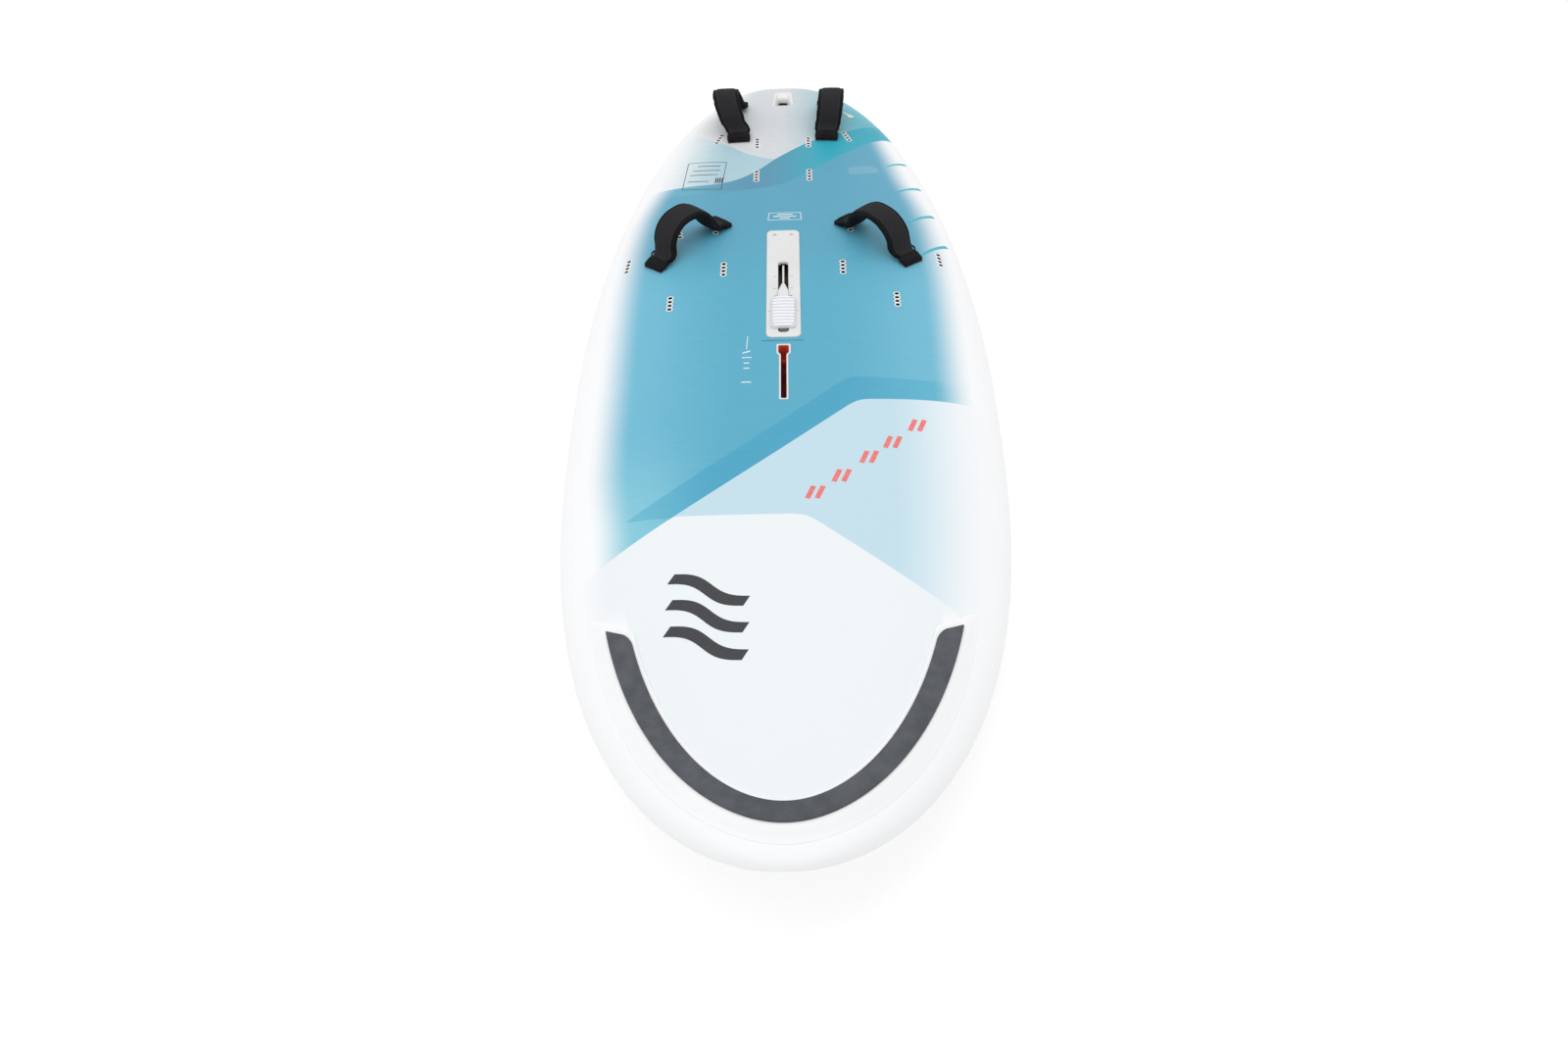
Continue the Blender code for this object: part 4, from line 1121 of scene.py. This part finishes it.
def pedal():
    """The CAD slider without its plain ribs, and a bowed, ribbed foot pad on top of it."""
    width, front, aft = PEDAL
    slider = place(cad_mesh("daggerboard_pedal"), "pedal_slider", "white_plastic", "pedal")
    carved(slider, block("shave", (-0.05, 0.05), (front - 0.01, aft + 0.0005), (PEDAL_FACE, 0.15)))
    eased(slider, 0.0004)
    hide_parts("daggerboard_pedal")

    rings = []
    for j in range(PEDAL_GRID[1] + 1):
        t = j / PEDAL_GRID[1]
        end = abs(2 * t - 1)
        half = max(width / 2 * 0.985 * (1 - 0.09 * end ** 2) * (1 - end ** 14) ** 0.35, 0.0002)
        y = along(front + (aft - front) * t)
        ring = []
        for i in range(PEDAL_GRID[0] + 1):
            u = 2 * i / PEDAL_GRID[0] - 1
            edge = max(0.0, 1 - abs(u) ** 10) ** 0.5 * max(0.0, 1 - end ** 24) ** 0.5
            phase = PEDAL_RIBS * (t - 0.018 * (1 - u * u)) * 2 * pi
            groove = (0.5 + 0.5 * cos(phase)) ** 5 if abs(u) < 0.88 and end < 0.97 else 0.0
            ring.append((half * u, y, PEDAL_FACE + edge * (PEDAL_CREST - PEDAL_GROOVE * groove)))
        ring += [(half, y, PEDAL_FACE - 0.0004), (-half, y, PEDAL_FACE - 0.0004)]
        rings.append(ring)
    place(loft("pedal_pad", rings, sharp=60), "pedal_pad", "white_plastic", "pedal", paint=PEDAL_PAINT)

    for name, (across, span, top), radius, slot, paint in (
            ("pedal_legs", PEDAL_LEG, 0.0005, "white_plastic", None),
            ("pedal_feet", PEDAL_FOOT, 0.0006, "seal_rubber", GASKET_PAINT)):
        pair = [block(name, sorted(side * x for x in across), span, (PEDAL_LOW, top), radius)
                for side in (1, -1)]
        place(merged(name, pair), name, slot, "pedal", paint=paint)


def blade():
    """A foil: elliptical sections from the round head to the round tip, with its crank and pin."""
    stand = Matrix.Translation((0, along(PIVOT[0]), PIVOT[1]))
    across = stand @ Matrix.Rotation(pi / 2, 4, "Y")
    straight = BLADE_LENGTH - BLADE_TIP_RADIUS
    rings = []
    for k in range(BLADE_STEPS + 1):
        share = (1 - cos(pi * k / BLADE_STEPS)) / 2
        u = -BLADE_ROOT_RADIUS + (BLADE_LENGTH + BLADE_ROOT_RADIUS) * share
        full = BLADE_ROOT_RADIUS + (BLADE_TIP_RADIUS - BLADE_ROOT_RADIUS) * max(0.0, u) / straight
        chord = full
        if u < 0:
            chord = sqrt(max(0.0, BLADE_ROOT_RADIUS ** 2 - u * u))
        elif u > straight:
            chord = sqrt(max(0.0, BLADE_TIP_RADIUS ** 2 - (u - straight) ** 2))
        chord = max(chord, 0.0004)
        thick = BLADE_THICKNESS / 2 * (1 - 0.25 * max(0.0, u) / BLADE_LENGTH) * (chord / full) ** 0.5
        ring = []
        for angle in circle(40):
            c, s = cos(angle), sin(angle)
            ring.append((thick * s * abs(s) ** -0.15 if s else 0.0, u,
                         chord * c * abs(c) ** -0.25 if c else 0.0))
        rings.append(ring)
    foil = place(moved(loft("blade_foil", rings, sharp=60), stand), "blade_foil", "blade_white",
                 "blade")
    carved(foil, moved(rod("bore", BLADE_BORE, -0.03, 0.03), across))
    foil.data.set_sharp_from_angle(angle=radians(40))
    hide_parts("daggerboard_blade")

    lean = stand @ Matrix.Rotation(SWING / 2, 4, "X")
    arm = moved(levels("arm", [(rounded_box(0.0040, -0.0045, 0.0045, 0.0015, 4), 0.028),
                               (rounded_box(0.0036, -0.0036, 0.0036, 0.0015, 4), CRANK)]), lean)
    lobe_at = lean @ Matrix.Translation((0, 0, CRANK)) @ Matrix.Rotation(pi / 2, 4, "Y")
    lobe = moved(turned("lobe", LOBE_PROFILE), lobe_at)
    place(merged("blade_crank", [arm, lobe]), "blade_crank", "blade_white", "blade")

    pin = place(moved(turned("pin", PIN_PROFILE), across), "pivot_pin_finished", "steel")
    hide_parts("pivot_pin")


# ---- fin bolt cup
def cup_outline(grow, squeeze=1.0, aft_share=1.0, front_share=0.0):
    """The cup's rounded trapezoid; the shares pull its front and aft edges towards each other."""
    (front_half, front), (aft_half, aft) = CUP
    front_y = along(front + (aft - front) * front_share) - grow
    aft_y = along(front + (aft - front) * aft_share) + grow
    corners = [((front_half + grow) * squeeze, front_y), ((aft_half + grow) * squeeze, aft_y),
               (-(aft_half + grow) * squeeze, aft_y), (-(front_half + grow) * squeeze, front_y)]
    return rounded(corners, 0.013 * squeeze, 8)


def bolt_cup():
    """A cup let into the deck, a slot in its floor, and the fin bolt's head in the slot."""
    rings = [[(x, y, deck_height(0, y + LENGTH / 2) - CUP_DEPTH) for x, y in cup_outline(CUP_FLANGE)]]
    for outline, depth in CUP_LAYERS:
        rings.append([(x, y, deck_height(x, y + LENGTH / 2) + SEAM + depth)
                      for x, y in cup_outline(*outline)])
    rings.append([(x * 0.98, y, z - BOLT_SLOT_DEPTH) for x, y, z in rings[-1]])
    cup = place(loft("cup", rings, sharp=50), "bolt_cup", "white_plastic", paint=CUP_PAINT)
    here = Matrix.Translation((0, along(BOLT_AT), 0))
    carved(cup, moved(rod("hole", 0.0036, 0.03, 0.0805), here))
    smoothed(cup, 50)
    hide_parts("fin_bolt_cup")

    bolt = place(turned("bolt", BOLT_PROFILE), "fin_bolt_finished", "steel", stand=here)
    hexagon = [(0.0027 * cos(angle), 0.0027 * sin(angle)) for angle in circle(6)]
    carved(bolt, window("socket", hexagon, 0.0735, 0.08))
    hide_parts("fin_bolt")


# ---- plugs
def lobed(grow):
    """Four overlapping circles in a row, as one outline."""
    radius = PLUG_LOBE + grow
    dip = acos(PLUG_PITCH / 2 / radius)
    outline = []
    for side in (1, -1):
        for k in range(4):
            centre = side * (k - 1.5) * PLUG_PITCH
            start = -pi / 2 if k == 0 else dip - pi / 2
            stop = pi / 2 if k == 3 else pi / 2 - dip
            for j in range(9):
                angle = start + (stop - start) * j / 8
                outline.append((side * radius * cos(angle), centre + side * radius * sin(angle)))
    return outline


def plug_shape():
    layers = [(lobed(-0.0006), -PLUG_DEPTH), (lobed(0.0), -PLUG_DEPTH + 0.0006), (lobed(0.0), -0.0004),
              (lobed(-0.0003), 0.0001), (lobed(-0.0007), 0.0003)]
    plug = linked("plug", levels("plug", layers, sharp=60))
    holes = []
    for k in range(4):
        spot = Matrix.Translation((0, (k - 1.5) * PLUG_PITCH, 0))
        holes.append(moved(rod("hole", PLUG_HOLE, -0.0195, 0.005, 24), spot))
    carved(plug, merged("holes", holes))
    smoothed(plug, 40)
    return taken(plug)


def plugs():
    """Every plug shares one shape; returns the pockets in the deck."""
    shape = plug_shape()
    pockets = []
    for side, tag in SIDES:
        for name, x, from_nose, yaw in PLUGS:
            stand = deck_frame(side * x, from_nose, radians(side * yaw))
            plug = place(shape.copy(), f"plug_{name}_{tag}_finished", "plug_white", stand=stand)
            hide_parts(f"plug_{name}_{tag}")
            pocket = window("pocket", lobed(POCKET_GAP), -PLUG_DEPTH - POCKET_GAP, 0.006)
            pockets.append(moved(pocket, stand))
    bpy.data.meshes.remove(shape)
    return pockets


# ---- footstraps
def strap_line(fore, aft, height, lean):
    """Evenly spaced stations (place, side, up) along the middle of the padding, foot to foot."""
    chord = Vector((aft[0] - fore[0], aft[1] - fore[1]))
    half = chord.length / 2
    arch = half - ARCH_INSET
    run = Vector((chord.x, chord.y, 0)).normalized()
    side = Vector((run.y, -run.x, 0))
    middle = Vector(((fore[0] + aft[0]) / 2, (fore[1] + aft[1]) / 2))
    knots = [(-half - FOOT_REACH, FOOT_LIFT), (-half - FOOT_REACH / 2, FOOT_LIFT),
             (-half + 0.002, FOOT_LIFT + 0.0004), (-arch - 0.006, FOOT_LIFT + 0.0040)]
    for k in range(13):
        angle = pi * (0.10 + 0.80 * k / 12)
        reach = -arch * abs(cos(angle)) ** 0.8 * (1 if k < 6 else -1)
        knots.append((reach, height * sin(angle) ** 0.85))
    knots += [(-u, lift) for u, lift in reversed(knots[:4])]
    points = spaced(knots, STRAP_STATIONS)
    stations = []
    for k, (u, lift) in enumerate(points):
        before, after = points[max(k - 1, 0)], points[min(k + 1, len(points) - 1)]
        slope = atan2(after[1] - before[1], after[0] - before[0])
        x, from_nose = middle + Vector((run.x, run.y)) * u
        share = min(1.0, max(0.0, u / chord.length + 0.5))
        bridge = deck_height(*fore) * (1 - share) + deck_height(*aft) * share
        hug = min(1.0, max(0.0, 1 - (lift - FOOT_LIFT) / 0.02))
        level = deck_height(x, from_nose) * hug + bridge * (1 - hug)
        shift = side * lean * lift * (1 - hug)
        place_at = Vector((x, along(from_nose), level + lift)) + shift
        up = Vector((0, 0, 1)) * cos(slope) - run * sin(slope)
        tilt = side
        if hug > 0:
            normal = deck_normal(x, from_nose)
            tilt = (side - normal * side.dot(normal) * hug).normalized()
            up = (up - tilt * up.dot(tilt)).normalized()
        stations.append((place_at, tilt, up))
    return stations


def spaced(knots, count):
    """Evenly spaced points on a smooth curve through the knots."""
    fine = []
    for k in range(len(knots) - 1):
        a, b = Vector(knots[max(k - 1, 0)]), Vector(knots[k])
        c, d = Vector(knots[k + 1]), Vector(knots[min(k + 2, len(knots) - 1)])
        for j in range(12):
            t = j / 12
            fine.append(0.5 * (2 * b + (c - a) * t + (2 * a - 5 * b + 4 * c - d) * t ** 2
                               + (3 * b - a - 3 * c + d) * t ** 3))
    fine.append(Vector(knots[-1]))
    lengths = [0.0]
    for a, b in zip(fine, fine[1:]):
        lengths.append(lengths[-1] + (b - a).length)
    points, k = [], 0
    for j in range(count):
        want = lengths[-1] * j / (count - 1)
        while k < len(fine) - 2 and lengths[k + 1] < want:
            k += 1
        t = (want - lengths[k]) / max(lengths[k + 1] - lengths[k], 1e-9)
        spot = fine[k].lerp(fine[k + 1], min(1.0, t))
        points.append((spot.x, spot.y))
    return points


def band(name, stations, outline):
    """A solid whose section at station k is outline(k), a list of (across, up)."""
    rings = []
    for k, (spot, side, up) in enumerate(stations):
        rings.append([tuple(spot + side * across + up * lift) for across, lift in outline(k)])
    return loft(name, rings, sharp=50)


def pillow(half_x, half_z):
    """A rounded pad's section."""
    points = []
    for angle in circle(28):
        c, s = cos(angle), sin(angle)
        points.append((half_x * abs(c) ** 0.55 * (1 if c > 0 else -1),
                       half_z * abs(s) ** 0.75 * (1 if s > 0 else -1)))
    return points


def swollen(piece):
    """Fills a closed skin with pressure as cloth, and bakes the result into its mesh."""
    remesh = piece.modifiers.new("remesh", "REMESH")
    remesh.mode = "VOXEL"
    remesh.voxel_size = CLOTH_VOXEL
    applied(piece)
    rest = [vertex.co.copy() for vertex in piece.data.vertices]
    cloth = piece.modifiers.new("cloth", "CLOTH")
    cloth.settings.use_pressure = True
    cloth.settings.uniform_pressure_force = CLOTH_PRESSURE
    cloth.settings.effector_weights.gravity = 0
    for number in range(1, CLOTH_FRAMES + 1):
        bpy.context.scene.frame_set(number)
    applied(piece)
    for vertex, start in zip(piece.data.vertices, rest):
        move = vertex.co - start
        if move.length > CLOTH_CAP:
            vertex.co = start + move * (CLOTH_CAP / move.length)
    bpy.context.scene.frame_set(1)
    smooth = piece.modifiers.new("smooth", "SUBSURF")
    smooth.levels = 1
    smooth.render_levels = 1
    applied(piece)
    piece.data.shade_smooth()
    return piece


def top_of(tree, station, across):
    """The padding's upper surface at a station, that far across."""
    spot, side, up = station
    start = spot + side * across + up * 0.03
    hit = tree.ray_cast(start, -up, 0.045)[0]
    return hit if hit else spot + side * across + up * STRAP_CORE[1]


def drawn_in(stations, k, share):
    """Narrows a trimming towards both ends of its run."""
    return min(1.0, min(k, len(stations) - 1 - k) / 12 + share)


def strap_panel(tree, stations):
    """The stitched facing along the top of the pad."""
    rings = []
    for k, station in enumerate(stations):
        up = station[2]
        half = STRAP_FACING * drawn_in(stations, k, 0.78)
        upper, lower = [], []
        for i in range(13):
            u = 2 * i / 12 - 1
            spot = top_of(tree, station, half * u)
            thick = 0.0011 * max(0.0, 1 - abs(u) ** 8) ** 0.5
            upper.append(tuple(spot + up * (thick + 0.0002)))
            lower.append(tuple(spot - up * 0.0012))
        rings.append(upper + lower[::-1])
    return loft("facing", rings, sharp=60)


def strap_piping(tree, stations, side_of):
    """A round cord in the seam on one side of the pad."""
    across, radius = STRAP_PIPING
    rings = []
    for k, station in enumerate(stations):
        side, up = station[1:]
        spot = top_of(tree, station, side_of * across * drawn_in(stations, k, 0.80)) - up * radius * 0.25
        rings.append([tuple(spot + side * radius * cos(angle) + up * radius * sin(angle))
                      for angle in circle(10)])
    return loft("pipe", rings, sharp=60)


def strap_stitches(tree, stations, side_of):
    """Short thread stitches laid end to end along a seam."""
    across, length = STRAP_SEAM
    meshes = []
    for k in range(1, len(stations) - 1):
        place_across = side_of * across * drawn_in(stations, k, 0.80)
        spot = top_of(tree, stations[k], place_across)
        onward = (top_of(tree, stations[k + 1], place_across) - spot).normalized()
        side, up = stations[k][1:]
        rings = []
        for share, size in ((-0.5, 0.2), (-0.3, 1.0), (0.3, 1.0), (0.5, 0.2)):
            middle = spot + onward * length * share + up * 0.0011
            rings.append([tuple(middle + (side * cos(angle) + up * sin(angle)) * 0.00042 * size)
                          for angle in circle(6)])
        meshes.append(loft("stitch", rings))
    return merged("seam", meshes)


def foot_cuff(name, stations):
    """The folded flap round a foot: a rounded band over the pad, with soft ends."""
    last = len(stations) - 1

    def outline(k):
        end = min(k, last - k)
        full = (0.90, 0.975, 1.0)[min(end, 2)]
        half_x, half_z = STRAP_CUFF[0] * full, STRAP_CUFF[1] * full
        top = half_z * (min(1.0, k / 7) * 1.15 - 0.15) + 0.0004 * sin(k * 1.9)
        corner = min(0.0042, (half_z + top) * 0.45)
        return rounded_box(half_x, -half_z, top, corner, 5)

    return band(name, stations, outline)


def footstrap(row, side, tag):
    """A padded sleeve with its trimmings, cuffs and rubber soles at its feet, and webbing inside."""
    places = {name: (side * x, from_nose) for name, x, from_nose, yaw in PLUGS}
    name = f"{row}_strap_{tag}"
    each = f"{row}_{tag}"
    stations = strap_line(*[places[plug] for plug in STRAPPED[row]], STRAP_HEIGHT[each],
                          side * STRAP_LEAN[each])
    inner = stations[1:-1]

    def section_at(k):
        near = min(1.0, min(k, len(inner) - 1 - k) / 16)
        full = near * near * (3 - 2 * near)
        return pillow(*[low + (high - low) * full for low, high in zip(FOOT_CORE, STRAP_CORE)])

    pad = swollen(place(band("core", inner, section_at), name + "_pad", "strap_neoprene"))
    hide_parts(name + "_cover")
    tree = BVHTree.FromPolygons([vertex.co for vertex in pad.data.vertices],
                                [face.vertices for face in pad.data.polygons])

    span = (stations[-1][0] - stations[0][0]).length
    cuff = round(STRAP_CUFF_LENGTH / (span * 1.9) * STRAP_STATIONS)
    middle = stations[cuff - 2:len(stations) - cuff + 2]
    place(strap_panel(tree, middle), name + "_facing", "strap_neoprene", paint=FACING_PAINT)
    pipes = [strap_piping(tree, middle, side_of) for side_of in (-1, 1)]
    place(merged("pipes", pipes, 60), name + "_piping", "strap_neoprene", paint=BINDING_PAINT)
    seams = [strap_stitches(tree, middle, side_of) for side_of in (-1, 1)]
    place(merged("seams", seams), name + "_stitching", "webbing", paint=THREAD_PAINT)

    for end, foot in (("fore", stations[:cuff]), ("aft", stations[:-cuff - 1:-1])):
        place(foot_cuff("cuff", foot), f"{name}_cuff_{end}", "strap_neoprene", paint=BINDING_PAINT)
        under = [(spot - up * SOLE_DROP, across, up) for spot, across, up in foot[:cuff - 5]]
        sole = band("sole", under, lambda k: rounded_box(*SOLE, 0.0008, 3))
        place(sole, f"{name}_sole_{end}", "seal_rubber", paint=SOLE_PAINT)

    webbing = band("webbing", stations[2:-2], lambda k: rounded_box(*WEBBING, 0.0008, 3))
    woven_band = place(webbing, name + "_webbing_woven", "webbing")
    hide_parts(name + "_webbing")


# ---- printed graphics
def printed(name, spots, paint, wide, tall):
    """Thin films on the deck; each spot maps (u, v), both 0 to 1, to (x, from_nose)."""
    bm = bmesh.new()
    for spot in spots:
        films = []
        for height in (PRINT_LIFT, -0.0004):
            grid = {}
            for i in range(wide + 1):
                for j in range(tall + 1):
                    x, from_nose = spot(i / wide, j / tall)
                    base = Vector((x, along(from_nose), deck_height(x, from_nose) + SEAM))
                    grid[i, j] = bm.verts.new(base + deck_normal(x, from_nose) * height)
            films.append(grid)
            for i in range(wide):
                for j in range(tall):
                    corners = ((i, j), (i + 1, j), (i + 1, j + 1), (i, j + 1))
                    bm.faces.new([grid[corner] for corner in corners])
        rim = [(i, 0) for i in range(wide)] + [(wide, j) for j in range(tall)]
        rim += [(i, tall) for i in range(wide, 0, -1)] + [(0, j) for j in range(tall, 0, -1)]
        top, under = films
        for one, other in zip(rim, rim[1:] + rim[:1]):
            bm.faces.new((top[one], top[other], under[other], under[one]))
    place(close(bm, name), name, "deck_paint", paint=paint)


def bar(start, end, width, end_width=None, bow=0.0, waves=0.0):
    """A stroke from start to end, bowed sideways or waved, and rounded a little at its ends."""
    start, end = Vector(start), Vector(end)
    run = (end - start).normalized()
    side = Vector((-run.y, run.x))
    end_width = width if end_width is None else end_width

    def spot(u, v):
        middle = start.lerp(end, v) + side * (bow * sin(pi * v) + waves * sin(2 * pi * v))
        half = (width + (end_width - width) * v) / 2
        return tuple(middle + side * half * (2 * u - 1))

    return spot


def dot(centre, radius):
    def spot(u, v):
        a, b = 2 * u - 1, 2 * v - 1
        return (centre[0] + radius * a * sqrt(1 - b * b / 2),
                centre[1] + radius * b * sqrt(1 - a * a / 2))

    return spot


def outline_box(corners, width):
    """Four strokes round a four-cornered frame."""
    return [bar(a, b, width) for a, b in zip(corners, corners[1:] + corners[:1])]


def graphics():
    printed("stripes", [bar(*stripe) for stripe in STRIPES], TURQUOISE_PRINT, 3, 20)

    marks = []
    for x, from_nose in CORAL_MARKS:
        for middle in (x - 0.009, x + 0.009):
            marks.append(bar((middle - 0.006, from_nose - 0.017), (middle + 0.006, from_nose + 0.017),
                             0.0095))
    printed("coral_marks", marks, CORAL_PRINT, 3, 4)

    emblem = [bar((x - 0.066, from_nose + 0.030), (x + 0.066, from_nose - 0.030), 0.027, waves=0.010)
              for x, from_nose in EMBLEM_BARS]
    printed("emblem", emblem, DARK_PRINT, 4, 28)

    fine = outline_box(LABEL_FRAME, 0.0014)
    fine += [bar((-0.160 + 0.0050 * k, 1.925), (-0.158 + 0.0050 * k, 1.948), 0.0030) for k in range(4)]
    fine += [bar((start, from_nose + 0.006), (stop, from_nose), 0.0022)
             for from_nose, start, stop in LABEL_ROWS]
    dashes = [-0.045 + DOT_PITCH * k for k in range(17)]
    fine += [bar((x, 1.2955), (x + 0.0034, 1.2955), 0.0020) for x in dashes]
    printed("label_lines", fine, DARK_PRINT, 1, 8)

    white = outline_box(WHITE_FRAME, 0.0016)
    white += [bar((x - reach, from_nose), (x + reach, from_nose), 0.0030)
              for x, from_nose, reach in WHITE_ROWS]
    white += [bar(*stroke) for stroke in WHITE_STROKES]
    printed("white_lines", white, WHITE_PRINT, 1, 8)

    dots = []
    for row in range(4):
        for k in range(14):
            across = DOT_PITCH * k
            if 2 <= k + row * 2 < 17:
                dots.append(dot((0.158 + across, 1.950 + 0.0095 * row + 0.30 * across), 0.00125))
    printed("dotted_patch", dots, WHITE_PRINT, 2, 2)


# ---- stage, light and camera
def studio():
    bm = bmesh.new()
    bmesh.ops.create_grid(bm, x_segments=1, y_segments=1, size=FLOOR_HALF)
    mesh = bpy.data.meshes.new("studio_floor")
    bm.to_mesh(mesh)
    bm.free()
    mesh.materials.append(floor_paint())
    floor = linked("studio_floor", mesh)
    floor.location = (0, 0, -0.0005)

    world = bpy.data.worlds.new("studio")
    bpy.context.scene.world = world
    world.use_nodes = True
    sky = world.node_tree.nodes["Background"]
    sky.inputs["Color"].default_value = (1.0, 1.0, 1.0, 1)
    sky.inputs["Strength"].default_value = SKY_STRENGTH

    for name, spot, size, power in LAMPS:
        light = bpy.data.lights.new(name, "AREA")
        light.shape = "RECTANGLE"
        light.size, light.size_y = size
        light.energy = power
        lamp = linked(name, light)
        lamp.location = spot
        aim = Vector((0, 0, 0.1)) - Vector(spot)
        lamp.rotation_euler = aim.to_track_quat("-Z", "Y").to_euler()
    bpy.context.scene.view_settings.view_transform = "Standard"


def camera():
    forward = Vector((sin(CAMERA_YAW) * cos(CAMERA_PITCH), cos(CAMERA_YAW) * cos(CAMERA_PITCH),
                      -sin(CAMERA_PITCH)))
    level = Vector((cos(CAMERA_YAW), -sin(CAMERA_YAW), 0))
    upright = level.cross(forward)
    right = level * cos(CAMERA_ROLL) + upright * sin(CAMERA_ROLL)
    up = upright * cos(CAMERA_ROLL) - level * sin(CAMERA_ROLL)
    lens = bpy.data.cameras.new("camera")
    lens.lens = CAMERA_LENS
    lens.sensor_width = CAMERA_SENSOR
    eye = linked("camera", lens)
    eye.matrix_world = (Matrix.Translation(CAMERA_PLACE)
                        @ Matrix((right, up, -forward)).transposed().to_4x4())
    bpy.context.scene.camera = eye


# ---- openings and finishes
def finish_cad_nodes():
    """The CAD nodes that stay in view get the same finishes as the pieces."""
    for row in frame["record"]["subparts"]:
        painted(frame["nodes"][row["node"]].data, PAINTS[row["material_slot"]])


def deck_openings():
    return [window("track_window", keyhole(TRACK_RIM + POCKET_GAP), 0.09, ABOVE_DECK),
            window("plate_window", plate_outline(GAP), 0.09, ABOVE_DECK),
            window("cup_window", cup_outline(CUP_FLANGE + POCKET_GAP), 0.06, ABOVE_DECK)]


def bottom_openings():
    slot = rounded_box(WELL_WIDTH / 2, along(PIVOT[0] - BLADE_ROOT_RADIUS - 0.0043),
                       along(WELL_AFT - 0.0027), 0.004)
    edge = FIN_WALL + GAP
    fin = rounded_box(FIN_SLOT[0] / 2 + edge, along(FIN_SLOT[1] - edge), along(FIN_SLOT[2] + edge), 0.002)
    return [window("bottom_slot", slot, -0.02, 0.02), window("fin_pocket", fin, -0.02, 0.03)]


camera()
studio()
for strap_side, strap_tag in SIDES:
    for strap_row in STRAPPED:
        footstrap(strap_row, strap_side, strap_tag)
finish_cad_nodes()
smooth_deck_shading(hull_shell("deck", True, "deck_paint", "deck_skin", deck_openings() + plugs()))
hull_shell("bottom", False, "hull_white", "bottom_skin", bottom_openings())
nose_moulding()
nose_strip()
track_rim()
cover_plate()
cover_screws()
gaskets()
pedal()
blade()
bolt_cup()
softened("slot_seal_port", "seal_rubber")
softened("slot_seal_starboard", "seal_rubber")
softened("fin_box", "white_plastic")
graphics()
